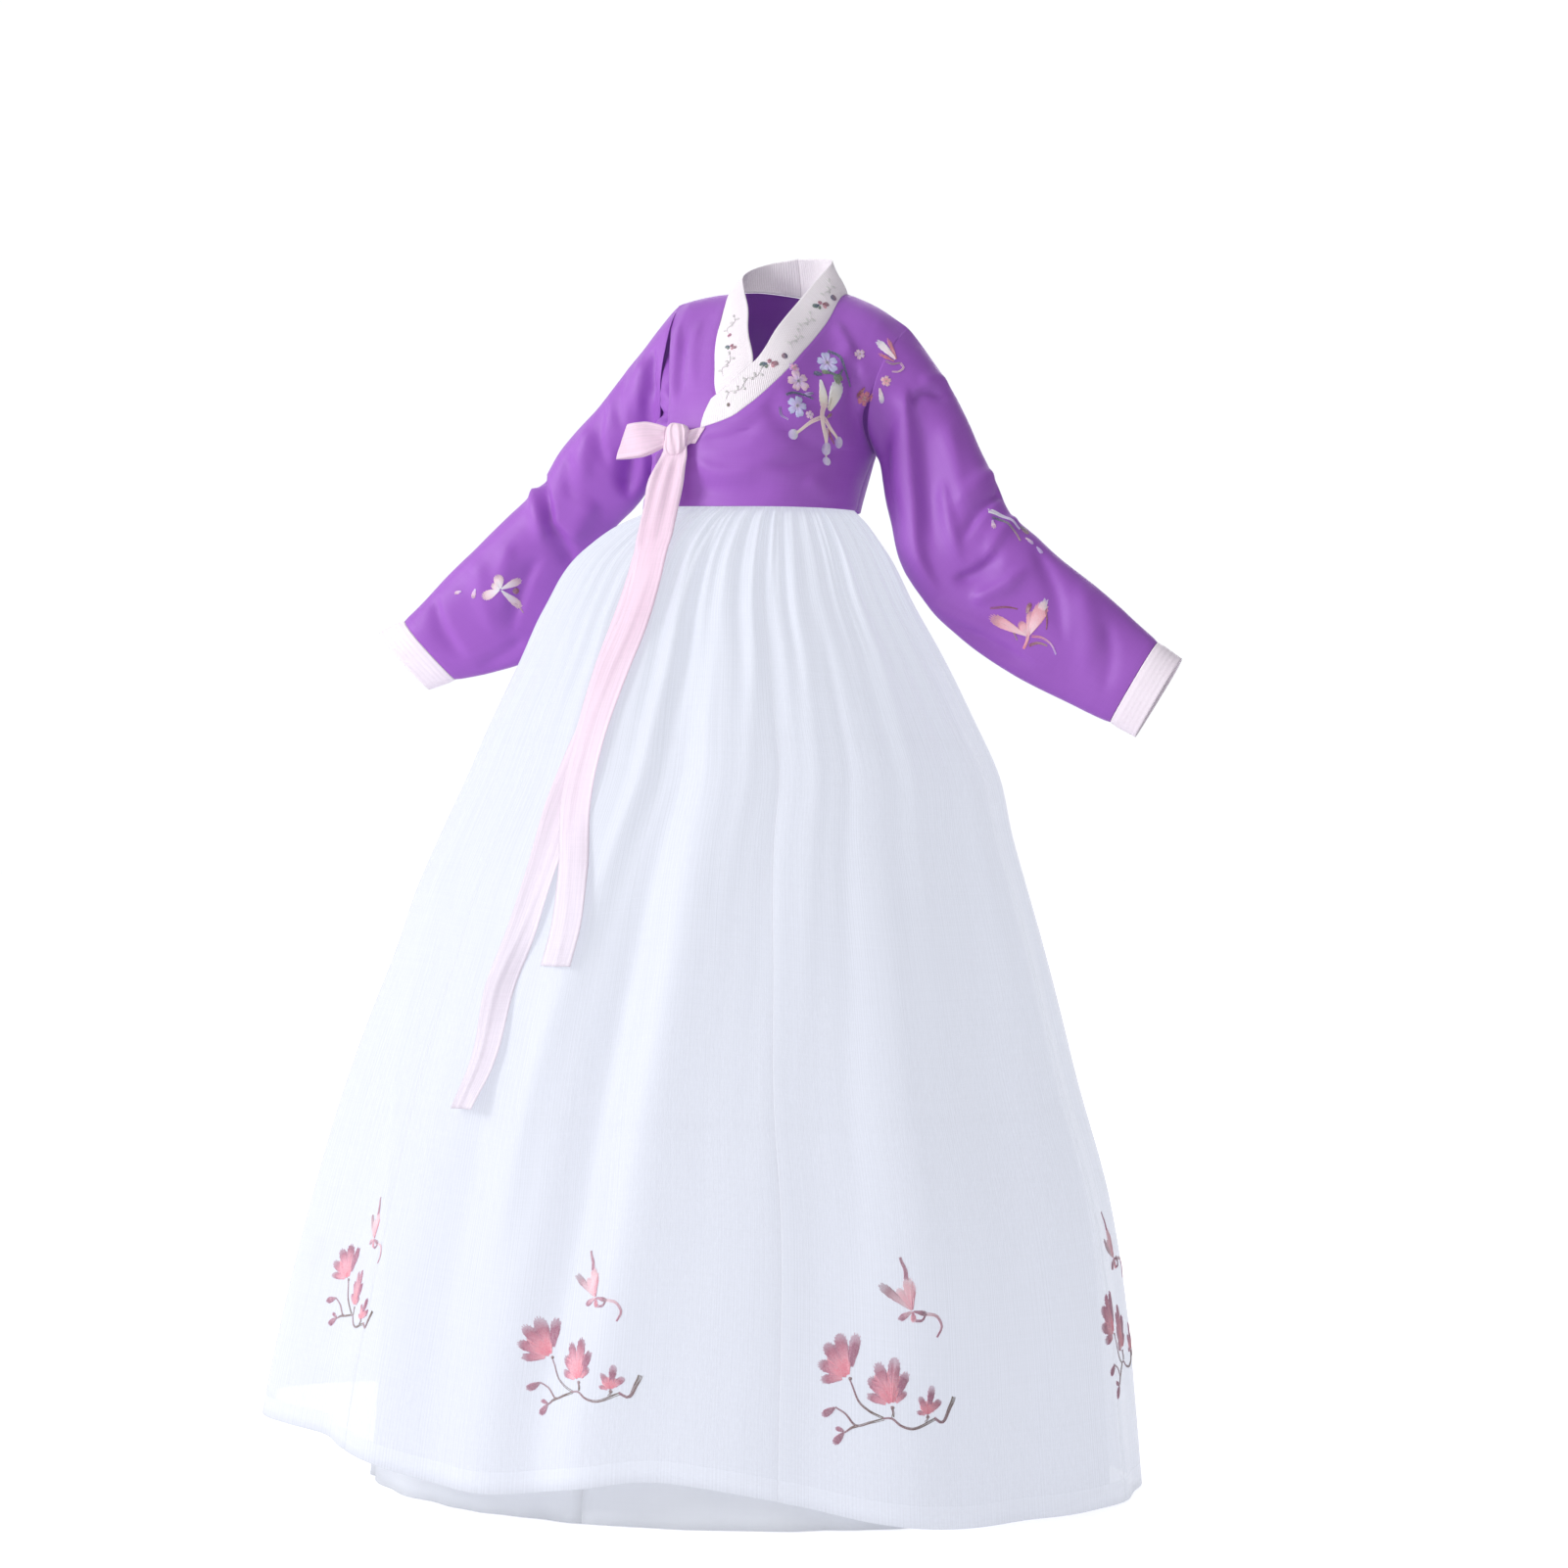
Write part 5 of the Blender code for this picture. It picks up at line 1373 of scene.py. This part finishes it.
ROSE: Colour = (0.80, 0.21, 0.29)
PINK: Colour = (0.88, 0.38, 0.46)
MAUVE: Colour = (0.46, 0.17, 0.27)
BLUSH: Colour = (0.86, 0.60, 0.66)
DUSK: Colour = (0.40, 0.22, 0.28)
BARK: Colour = (0.16, 0.11, 0.07)
MOSS: Colour = (0.20, 0.24, 0.13)
LEAF: Colour = (0.05, 0.15, 0.10)
SKY: Colour = (0.58, 0.64, 0.90)
LILAC: Colour = (0.60, 0.42, 0.82)
CREAM: Colour = (0.82, 0.72, 0.60)
WHITE: Colour = (0.88, 0.87, 0.92)
NAVY: Colour = (0.04, 0.05, 0.17)
PALE: Colour = (0.68, 0.66, 0.66)
WINE: Colour = (0.30, 0.04, 0.09)


def thread_tree() -> bpy.types.NodeTree:
    """Builds the tree that turns lines into threads of their own thickness.

    Returns:
        The Geometry Nodes tree, with the number of sides and the material as inputs.
    """
    name = "sewn_threads"
    found = bpy.data.node_groups.get(name)
    if found:
        return found
    tree = bpy.data.node_groups.new(name, "GeometryNodeTree")
    for label, kind in (("Lines", "Geometry"), ("Sides", "Int"), ("Finish", "Material")):
        tree.interface.new_socket(name=label, in_out="INPUT", socket_type="NodeSocket" + kind)
    tree.interface.new_socket(name="Threads", in_out="OUTPUT", socket_type="NodeSocketGeometry")
    nodes = Nodes(tree)
    given = nodes.add("NodeGroupInput").outputs
    curves = nodes.out("GeometryNodeMeshToCurve", {"Mesh": given["Lines"]})
    thick = nodes.out("GeometryNodeInputNamedAttribute", {"Name": "thick"}, data_type="FLOAT")
    ring = nodes.out("GeometryNodeCurvePrimitiveCircle", {"Resolution": given["Sides"], "Radius": 1.0})
    inputs = {"Curve": curves, "Profile Curve": ring, "Scale": thick, "Fill Caps": True}
    tube = nodes.out("GeometryNodeCurveToMesh", inputs)
    smooth = nodes.out("GeometryNodeSetShadeSmooth", {"Geometry": tube})
    real = nodes.out("GeometryNodeRealizeInstances", {"Geometry": smooth})
    painted = nodes.out("GeometryNodeSetMaterial", {"Geometry": real, "Material": given["Finish"]})
    nodes.put(nodes.add("NodeGroupOutput").inputs[0], painted)
    return tree


@dataclass
class Ground:
    """The outer surface of finished pieces, which threads are sewn onto."""

    pieces: Sequence[bpy.types.Object]

    def __post_init__(self) -> None:
        """Joins the pieces' faces into one search tree."""
        points: list[Vector] = []
        faces: list[tuple[int, ...]] = []
        for piece in self.pieces:
            first = len(points)
            points += [vertex.co.copy() for vertex in piece.data.vertices]
            faces += [tuple(first + k for k in face.vertices) for face in piece.data.polygons]
        self.tree = BVHTree.FromPolygons(points, faces)

    def seat(self, near: Sequence[float], tilt: float = 0.0, size: float = 1.0) -> "Seat":
        """The place on the cloth nearest to a point, with axes turned by `tilt` degrees."""
        place, normal = self.tree.find_nearest(Vector(near))[:2]
        right = Vector((0, 0, 1)).cross(normal).normalized()
        up = normal.cross(right)
        turn = np.radians(tilt)
        across = right * np.cos(turn) + up * np.sin(turn)
        return Seat(self, place, normal, across, up * np.cos(turn) - right * np.sin(turn), size)


@dataclass
class Seat:
    """A place on the cloth with its own flat axes, for a motif drawn in millimetres."""

    ground: Ground
    place: Vector
    normal: Vector
    right: Vector
    up: Vector
    size: float = 1.0
    far: float = 0.05

    def metres(self, drawn: Any) -> np.ndarray:
        """A drawn length or path as it is sewn."""
        return np.array(drawn, float) / 1000 * self.size

    def lay(self, flat: np.ndarray, rise: np.ndarray) -> list[Vector]:
        """Lays flat points onto the cloth.

        Args:
            flat: points across and up from the seat.
            rise: how high each lies above the cloth.

        Returns:
            The points in space.
        """
        laid = []
        for (across, up), high in zip(flat, rise):
            start = self.place + self.right * across + self.up * up + self.normal * self.far
            hit, normal = self.ground.tree.ray_cast(start, -self.normal, 3 * self.far)[:2]
            if hit is None:
                hit, normal = self.ground.tree.find_nearest(start - self.normal * self.far)[:2]
            if normal.dot(self.normal) < 0:
                normal = -normal
            laid.append(hit + normal * high)
        return laid


@dataclass
class Needlework:
    """Threads sewn onto a ground, which become one piece. Motifs are drawn in millimetres and degrees."""

    name: str
    pitch: float = 0.0008  # distance between neighbouring threads
    thick: float = 0.00046
    sides: int = 4
    points: list[Vector] = field(default_factory=list)
    edges: list[tuple[int, int]] = field(default_factory=list)
    dyes: list[Colour] = field(default_factory=list)
    sizes: list[float] = field(default_factory=list)

    def strand(
        self, seat: Seat, flat: np.ndarray, first: Colour, last: Colour, arch: float = 0.0004
    ) -> None:
        """Sews one thread.

        Args:
            seat: the place that it is laid out from.
            flat: its points in metres, across and up from the seat.
            first: its colour at the start.
            last: its colour at the end.
            arch: how high its middle stands.
        """
        share = np.linspace(0, 1, len(flat))
        laid = seat.lay(flat, 0.0002 + arch * np.sin(np.pi * share))
        at = len(self.points)
        self.points += laid
        self.edges += [(at + k, at + k + 1) for k in range(len(laid) - 1)]
        self.dyes += [tuple(np.array(first) * (1 - t) + np.array(last) * t) for t in share]
        self.sizes += [self.thick * (0.75 + 0.25 * np.sin(np.pi * t)) for t in share]

    def petal(
        self,
        seat: Seat,
        x: float,
        y: float,
        angle: float,
        reach: float,
        spread: float,
        first: Colour,
        last: Colour,
        full: float = 0.5,
        inner: float = 0.10,
        notch: float = 0.0,
    ) -> None:
        """Sews a petal, leaf or wing: threads that fan out from a centre.

        Args:
            seat: the place that it is laid out from.
            x: where its threads meet, across from the seat.
            y: the same, up from the seat.
            angle: its direction, 0 to the right.
            reach: how far its tip lies from the centre.
            spread: half of its fan.
            first: its colour at the centre.
            last: its colour at the edge.
            full: how soon its sides come up; small is full, large is narrow.
            inner: share of the reach where its threads start.
            notch: how deep its tip is cut in.
        """
        half, centre, reach = np.radians(spread), seat.metres((x, y)), seat.metres(reach)
        count = max(5, int(2 * reach * np.sin(min(half, 1.4)) / self.pitch))
        for share in np.linspace(-0.96, 0.96, count):
            turn = np.radians(angle) + share * half
            edge = reach * np.cos(share * np.pi / 2) ** full * (1 - notch * np.exp(-((share / 0.24) ** 2)))
            if edge < reach * (inner + 0.08):
                continue
            uneven = 1 + 0.03 * np.sin(37 * share + angle)
            run = np.linspace(inner * reach, edge * uneven, 5)
            bend = turn + 0.10 * share * (run / reach) ** 2
            flat = np.column_stack([centre[0] + run * np.cos(bend), centre[1] + run * np.sin(bend)])
            self.strand(seat, flat, first, last)

    def petals(self, seat: Seat, *rows: tuple) -> None:
        """Sews a petal for each row of `petal`'s arguments."""
        for row in rows:
            self.petal(seat, *row)

    def blossoms(self, seat: Seat, heart: Colour, *rows: tuple) -> None:
        """Sews whole flowers with knotted hearts.

        Args:
            seat: the place that they are laid out from.
            heart: the colour of their hearts.
            rows: x, y, reach, angle and the two colours of each.
        """
        count = 5
        for x, y, reach, angle, first, last in rows:
            for k in range(count):
                size = reach * (1 + 0.08 * np.sin(2.3 * k + angle))
                turn = angle + 360 * k / count
                self.petal(seat, x, y, turn, size, 170 / count, first, last, full=0.35, notch=0.12)
            centre = seat.metres((x, y))
            for k in range(6):
                turn = np.radians(60 * k + angle)
                tip = centre + 0.26 * seat.metres(reach) * np.array([np.cos(turn), np.sin(turn)])
                self.strand(seat, np.linspace(centre, tip, 4), heart, CREAM, arch=0.0010)

    def stems(self, seat: Seat, *rows: tuple) -> None:
        """Sews branches or stalks: threads side by side along smooth paths.

        Args:
            seat: the place that they are laid out from.
            rows: path, width and the two colours of each; a path is x, y, x, y and so on.
        """
        for path, width, first, last in rows:
            line, width = seat.metres(path).reshape(-1, 2), seat.metres(width)
            run = run_of(line)
            even = np.linspace(0, 1, max(8, int(run[-1] / 0.0035)))
            line = through(np.column_stack([run / run[-1], line]), even)
            away = unit(np.gradient(line, axis=0))[:, ::-1] * (-1, 1)
            count = max(1, int(width / self.pitch))
            for side in np.linspace(-0.5, 0.5, count) if count > 1 else (0.0,):
                wide = width * side * (0.75 + 0.35 * np.sin(7 * even + 3 * side)) * (1 - 0.5 * even)
                self.strand(seat, line + away * wide[:, None], first, last, arch=0.0003)

    def knot(self, seat: Seat, x: float, y: float, reach: float, first: Colour, last: Colour) -> None:
        """Sews a round dot of threads."""
        (x, y), reach = seat.metres((x, y)), seat.metres(reach)
        for share in np.linspace(-0.9, 0.9, max(3, int(2 * reach / self.pitch))):
            half = reach * np.sqrt(1 - share**2)
            flat = np.column_stack([x + np.linspace(-half, half, 5), np.full(5, y + share * reach)])
            self.strand(seat, flat, first, last, arch=0.0008)

    def make(self) -> bpy.types.Object:
        """Turns the lines into threads and hands them to the frame."""
        mesh = bpy.data.meshes.new(self.name + "_lines")
        mesh.from_pydata([tuple(p) for p in self.points], self.edges, [])
        dye = mesh.attributes.new("dye", "FLOAT_COLOR", "POINT")
        colours = np.column_stack([self.dyes, np.ones(len(self.dyes))])
        dye.data.foreach_set("color", colours.astype(np.float32).ravel())
        thick = mesh.attributes.new("thick", "FLOAT", "POINT")
        thick.data.foreach_set("value", np.array(self.sizes, np.float32))
        lines = placed(self.name + "_lines", mesh)
        sewing = lines.modifiers.new("threads", "NODES")
        sewing.node_group = thread_tree()
        given = {"Sides": self.sides, "Finish": THREAD.make()}
        for item in sewing.node_group.interface.items_tree:
            if item.in_out == "INPUT" and item.name in given:
                sewing[item.identifier] = given[item.name]
        shown = lines.evaluated_get(bpy.context.evaluated_depsgraph_get())
        threads = bpy.data.meshes.new_from_object(shown)
        threads.name = self.name
        bpy.data.objects.remove(lines)
        piece = placed(self.name, threads)
        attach(piece, "root")
        LOG.info("%s: %d threads", self.name, len(self.points) - len(self.edges))
        return piece


@dataclass
class Embroidery:
    """Flowers, branches and butterflies on the jacket, collar and skirt."""

    jacket: Ground
    skirt: Ground
    # x, y, z near each group by the hem, its tilt and size
    hem_groups: tuple = (
        ((-0.420, -0.320, -1.185), -8, 0.80), ((-0.102, -0.424, -1.246), 2, 0.88),
        ((0.221, -0.330, -1.273), -4, 1.0), ((0.400, 0.010, -1.250), 3, 1.0),
        ((-0.640, -0.060, -1.200), 4, 0.95), ((-0.600, 0.200, -1.200), -3, 0.95),
        ((-0.330, 0.370, -1.215), 5, 0.95), ((0.010, 0.400, -1.235), -4, 0.95),
        ((0.290, 0.290, -1.250), 2, 0.95),
    )
    # angle, reach and spread of the outer lobes of a branch's three cups
    cup_left: tuple = ((84, 48, 10), (107, 49, 12), (129, 45, 13), (158, 37, 15), (188, 31, 14))
    cup_middle: tuple = (
        (70, 40, 11), (91, 53, 10), (113, 50, 10), (133, 40, 13), (160, 30, 13), (50, 22, 14),
    )
    cup_right: tuple = ((84, 32, 10), (117, 22, 13), (52, 22, 15), (165, 13, 17))

    def make(self) -> None:
        """Sews everything."""
        for number, group in enumerate(self.hem_groups):
            self.hem_group(number + 1, self.skirt.seat(*group))
        self.chest()
        self.shoulder()
        self.right_sleeve()
        self.left_sleeve()
        self.collar()

    def hem_group(self, number: int, seat: Seat) -> None:
        """A flowering branch with a butterfly above it."""
        work = Needlework(f"embroidery_hem_{number}", thick=0.00048)
        work.stems(
            seat,
            ((77, 27, 75, 18, 65, -1, 57, 4), 5.6, BARK, DUSK),
            ((58, 3, 30, -10, 20, -7, 9, 1, -2, 0), 3.6, BARK, DUSK),
            ((0, 1, -16, 7, -26, 14, -36, 34, -40, 42), 2.6, BARK, DUSK),
            ((1, 0, -13, -5, -29, -10, -42, 3, -53, 9), 3.0, BARK, DUSK),
            ((-27, -9, -34, -13, -42, -18), 3.4, BARK, DUSK),
            ((11, 2, 10, 8, 8, 14), 3.0, BARK, DUSK),
            ((47, -2, 49, 3, 49, 8), 2.0, BARK, DUSK),
        )
        # x, y of a cup's base, angle, reach and spread of its bright middle, and its outer lobes
        for x, y, core, *lobes in (
            (-40, 42, (133, 33, 46), *self.cup_left),
            (9, 14, (108, 40, 40), *self.cup_middle),
            (49, 6, (95, 17, 52), *self.cup_right),
        ):
            for k, lobe in enumerate(lobes):
                work.petal(seat, x, y, *lobe, PINK if k else MAUVE, MAUVE, full=0.32, inner=0.25)
            work.petal(seat, x, y, *core, ROSE, PINK, full=0.30, notch=0.08)
            work.petal(seat, x, y, core[0] - 180, 4, 60, DUSK, BARK, full=0.35, inner=0.0)
        for bud in ((-52, 9, 215, 18, 26), (-41, -17, 160, 11, 26), (-41, -17, 232, 18, 26)):
            work.petal(seat, *bud, DUSK, MAUVE)
        for wing in (
            (103, 38, 15, PINK, BLUSH),
            (92, 31, 8, MAUVE, PINK),
            (145, 47, 9, BLUSH, DUSK),
            (128, 30, 16, PINK, BLUSH),
            (214, 18, 20, BLUSH, MAUVE),
            (-80, 12, 26, MAUVE, PINK),
            (-8, 17, 16, MAUVE, DUSK),
        ):
            work.petal(seat, 25, 118, *wing, full=0.42, inner=0.05)
        work.stems(
            seat,
            ((17, 151, 13, 163, 8, 176), 6.0, MAUVE, DUSK),
            ((29, 107, 36, 109, 41, 116), 3.4, MAUVE, DUSK),
            ((41, 115, 53, 114, 59, 104, 54, 91), 4.0, BLUSH, MAUVE),
        )
        work.make()

    def chest(self) -> None:
        """Flowers and trailing stalks on the left front."""
        work = Needlework("embroidery_chest")
        seat = self.jacket.seat((0.070, -0.090, -0.130))
        work.blossoms(
            seat,
            NAVY,
            (18.5, 44, 14.5, 90, LILAC, SKY),
            (-22, 18, 14.2, 30, LILAC, BLUSH),
            (-28, -14, 13.0, 70, LILAC, SKY),
            (-25, 35, 7.0, 50, ROSE, LILAC),
            (-13, -24, 5.5, 10, LILAC, BLUSH),
        )
        work.stems(
            seat,
            ((22, 60, 34, 53, 40, 38, 47, 18), 4.2, NAVY, NAVY),
            ((18, 30, 30, 28, 37, 36), 3.6, LEAF, NAVY),
            ((-40, -1, -30, 3, -18, 1, -6, -4), 3.4, NAVY, NAVY),
            ((-48, -14, -45, -24, -38, -29), 2.4, NAVY, LILAC),
        )
        work.petals(
            seat,
            (22, 26, -8, 13.5, 32, LEAF, MOSS),
            (20, 30, 165, 11, 32, LEAF, MOSS),
            (22, 26, -52, 13, 32, LEAF, MOSS),
            (10, 28, 170, 11.5, 30, NAVY, NAVY),
            (-4, 4, 195, 14, 20, NAVY, LILAC, 0.6),
            (6, 25, -88, 40, 12, WHITE, CREAM, 0.4),
            (12, -20, 66, 44, 20, CREAM, WHITE),
            (11, -18, 72, 30, 7, BARK, CREAM),
            (9, -26, 40, 11, 20, BARK, MAUVE, 0.6),
        )
        for path, width, tip in (
            ((7, -6, 4, -24, 7, -40, 12.5, -57), 8.0, 6.4),
            ((4, -26, 16, -36, 29, -48), 6.0, 5.8),
            ((3, -24, -12, -33, -32, -45), 5.6, 6.0),
            ((10, -36, 12, -52, 12.5, -71), 3.0, 5.2),
        ):
            work.stems(seat, (path, width, BLUSH, CREAM))
            work.knot(seat, *path[-2:], tip, LILAC, WHITE)
        work.stems(seat, ((12, -36, 16, -44, 22, -51), 2.6, WINE, WINE))
        work.make()

    def shoulder(self) -> None:
        """A butterfly and small flowers below the left shoulder."""
        work = Needlework("embroidery_shoulder")
        seat = self.jacket.seat((0.118, -0.040, -0.088))
        work.blossoms(
            seat,
            WINE,
            (-10, 12, 7.0, 40, LILAC, BLUSH),
            (20, -20, 6.8, 10, ROSE, BLUSH),
            (-4, -38, 8.5, 60, WINE, ROSE),
        )
        work.petals(
            seat,
            (12, -26, -75, 19, 15, BLUSH, WHITE),
            (-4, -26, 230, 15, 17, WINE, WINE, 0.6),
            (34, 3, 131, 34, 12, BLUSH, WHITE, 0.4),
            (34, 3, 108, 30, 7, WINE, ROSE, 0.6),
            (32, 2, 152, 22, 8, WINE, ROSE, 0.6),
        )
        work.stems(
            seat,
            ((20, 3, 28, 0, 37, 1), 2.4, DUSK, DUSK),
            ((37, 1, 41, -5, 36, -9, 27, -9), 2.4, BLUSH, BLUSH),
        )
        work.make()

    def right_sleeve(self) -> None:
        """A butterfly on the right forearm."""
        work = Needlework("embroidery_right_sleeve")
        seat = self.jacket.seat((-0.362, -0.018, -0.340))
        for wing in ((204, 24, 24), (98, 18, 36), (24, 26, 17), (-47, 33, 13), (150, 12, 35)):
            work.petal(seat, 8, -4, *wing, WHITE, BLUSH, full=0.4, inner=0.05)
        work.knot(seat, 25, -7, 3.6, DUSK, WINE)
        work.stems(seat, ((16, -16, 26, -24, 33, -34), 1.6, DUSK, DUSK))
        work.petals(seat, (-22, -2, 250, 14, 20, LILAC, BLUSH), (-40, -6, 200, 10, 22, LILAC, BLUSH))
        work.make()

    def left_sleeve(self) -> None:
        """A butterfly on the left forearm, and at the elbow a white band with a navy stalk that is painted
        shade of a crease.
        """
        work = Needlework("embroidery_left_sleeve")
        seat = self.jacket.seat((0.290, 0.000, -0.402))
        for wing in ((64, 44, 19), (152, 50, 12), (118, 20, 26), (84, 30, 14)):
            work.petal(seat, 8, -6, *wing, BLUSH, PINK, full=0.45, inner=0.05)
        work.petals(seat, (8, -6, 64, 48, 9, BLUSH, WHITE, 0.5, 0.72), (6, 20, 70, 14, 22, DUSK, WINE))
        work.stems(
            seat,
            ((9, 14, 8, -6, 2, -20), 6.2, BLUSH, ROSE),
            ((12, -6, 24, -7, 34, -14, 40, -27), 2.8, ROSE, LILAC),
            ((-36, 27, -18, 29, -4, 26), 2.2, WINE, WINE),
            ((-31, 12, -12, 3, -5, -10), 2.2, WINE, DUSK),
            ((9, -17, 18, -13, 30, -17), 3.6, WINE, DUSK),
            ((28, 30, 30, 12, 29, 2), 1.8, WINE, WINE),
        )
        seat = self.jacket.seat((0.278, 0.009, -0.276))
        # At the elbow: a white band, and navy threads below it along the dark of a crease, which is painted
        # shade sewn in thread.
        work.stems(
            seat,
            ((-24, 18, -12, 13, 0, 4, 7, -7), 6.2, WHITE, LILAC),
            ((-22, 10, -10, 3, -2, -8, 1, -22), 3.6, NAVY, DUSK),
        )
        work.petals(
            seat,
            (10, -2, -60, 13, 34, NAVY, DUSK, 0.4),
            (-22, 8, 265, 12, 17, LILAC, BLUSH),
            (8, -18, -50, 12, 20, BLUSH, LILAC),
            (18, -30, -60, 11, 22, LILAC, LILAC),
        )
        work.make()

    def collar(self) -> None:
        """Small sprigs, dots and pale stalks on both collar bands."""
        work = Needlework("embroidery_collar", pitch=0.0007, thick=0.00036)
        for sprig in (
            ((0.055, -0.027, -0.016), 20),
            ((0.018, -0.109, -0.092), 12),
            ((-0.034, -0.094, -0.070), 0, 0.7),
        ):
            work.petals(
                self.jacket.seat(*sprig),
                (-2, 0, 172, 10, 34, NAVY, LEAF, 0.4),
                (-1, 0, 70, 6.5, 42, MAUVE, WINE, 0.4),
                (1, 0, -12, 9.5, 36, WINE, DUSK, 0.4),
                (1, -1, -60, 6, 34, DUSK, PINK, 0.4),
                (-2, -1, 225, 6, 26, MOSS, LEAF, 0.4),
            )
        for near, *dot in (
            ((0.064, -0.009, -0.007), 4.0, NAVY, DUSK),
            ((0.032, -0.097, -0.083), 3.6, DUSK, NAVY),
            ((-0.041, -0.082, -0.054), 2.6, MAUVE, MAUVE),
            ((-0.024, -0.134, -0.141), 2.2, MOSS, DUSK),
        ):
            work.knot(self.jacket.seat(near), 0, 0, *dot)
        for stalk in (
            ((0.045, -0.055, -0.040), 48),
            ((0.040, -0.080, -0.062), 52),
            ((0.062, -0.015, 0.006), 60),
            ((0.000, -0.118, -0.110), 40),
            ((-0.018, -0.128, -0.125), 38),
            ((-0.035, -0.104, -0.095), 80),
            ((-0.046, -0.075, -0.035), 95),
        ):
            seat = self.jacket.seat(*stalk)
            work.stems(seat, ((-15, -3, -5, 3, 5, -3, 15, 2), 1.2, PALE, PALE))
            for x, y, angle in ((-9, 1, 80), (-3, 2, -60), (3, -2, 60), (10, -1, -80), (14, 2, 30)):
                work.petal(seat, x, y, angle, 6.5, 26, PALE, PALE)
        work.make()


# ---------------------------------------------------------------- studio


@dataclass
class Studio:
    """Pale floor, soft lights and the camera."""

    height: float = -0.5792
    distance: float = 5.0
    azimuth: float = 18.0
    lens: float = 96.91
    floor_z: float = -1.4012
    room: float = 0.68  # light of the white room, which looks pure white to the camera
    lean: float = 0.50  # how much brighter it is on the camera's left

    def make(self) -> None:
        """Builds the whole studio."""
        self.camera()
        self.floor()
        self.lamps()

    def from_camera(self, right: float, ahead: float, up: float) -> Vector:
        """A point given as seen by the camera, from the middle of its view."""
        turn = np.radians(self.azimuth)
        x = right * np.cos(turn) - ahead * np.sin(turn)
        y = right * np.sin(turn) + ahead * np.cos(turn)
        return Vector((x, y, self.height + up))

    def camera(self) -> None:
        """The camera, level, a little to the wearer's left of the front."""
        data = bpy.data.cameras.new("camera")
        data.lens, data.sensor_width = self.lens, 36.0
        camera = placed("camera", data)
        camera.location = self.from_camera(0, -self.distance, 0)
        camera.rotation_euler = (np.pi / 2, 0, np.radians(self.azimuth))
        bpy.context.scene.camera = camera

    def floor(self) -> None:
        """A wide pale floor."""
        half = 30.0
        mesh = bpy.data.meshes.new("floor")
        corners = [(-half, -half), (half, -half), (half, half), (-half, half)]
        mesh.from_pydata([(x, y, self.floor_z) for x, y in corners], [], [(0, 1, 2, 3)])
        made, nodes, shader = material("pale_floor")
        seen = nodes.add("ShaderNodeLightPath").outputs["Is Camera Ray"]
        nodes.fill(
            shader,
            {
                "Base Color": (0.93, 0.93, 0.94, 1.0),
                "Roughness": 0.8,
                "Specular IOR Level": 0.1,
                "Emission Color": (1.0, 1.0, 1.0, 1.0),
                "Emission Strength": nodes.math("MULTIPLY", seen, 0.42),
            },
        )
        mesh.materials.append(made)
        placed("floor", mesh)

    def lamps(self) -> None:
        """A white room and three soft lamps."""
        world = bpy.data.worlds.new("white_room")
        world.use_nodes = True
        back = world.node_tree.nodes["Background"]
        back.inputs[0].default_value = (0.97, 0.98, 1.0, 1.0)
        nodes = Nodes(world.node_tree)
        seen = nodes.add("ShaderNodeLightPath").outputs["Is Camera Ray"]
        way = nodes.add("ShaderNodeTexCoord").outputs["Generated"]
        turn = np.radians(self.azimuth)
        right = (np.cos(turn), np.sin(turn), 0.0)
        side = nodes.add("ShaderNodeVectorMath", {0: way, 1: right}, operation="DOT_PRODUCT")
        room = nodes.math("MULTIPLY_ADD", side.outputs["Value"], -self.lean, self.room)
        nodes.put(back.inputs[1], nodes.mix_value(seen, room, 1.04))
        bpy.context.scene.world = world
        for name, place, power, size in (
            ("key", (-4.2, -2.3, 1.5), 124.0, 1.5),
            ("fill", (2.6, -3.6, 0.4), 6.0, 2.4),
            ("back", (0.6, 3.4, 2.2), 60.0, 2.4),
        ):
            data = bpy.data.lights.new(name, "AREA")
            data.energy, data.size = power, size
            lamp = placed(name, data)
            lamp.location = self.from_camera(*place)
            aim = Vector((-0.05, 0.0, -0.6)) - lamp.location
            lamp.rotation_euler = aim.to_track_quat("-Z", "Y").to_euler()


def main() -> None:
    """Dresses the frame."""
    logging.basicConfig(level=logging.INFO, format="%(message)s")
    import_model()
    Studio().make()
    jacket, skirt = Jacket(), Skirt()
    upper, lower = jacket.make(), skirt.make()
    Tie(skirt.form, jacket.form).make()
    outer = [piece for name, piece in lower.items() if name.startswith("skirt_width")]
    Embroidery(Ground(list(upper.values())), Ground(outer)).make()
    bpy.context.scene.view_settings.view_transform = "Standard"
    bpy.context.view_layer.update()


if __name__ == "__main__":
    main()
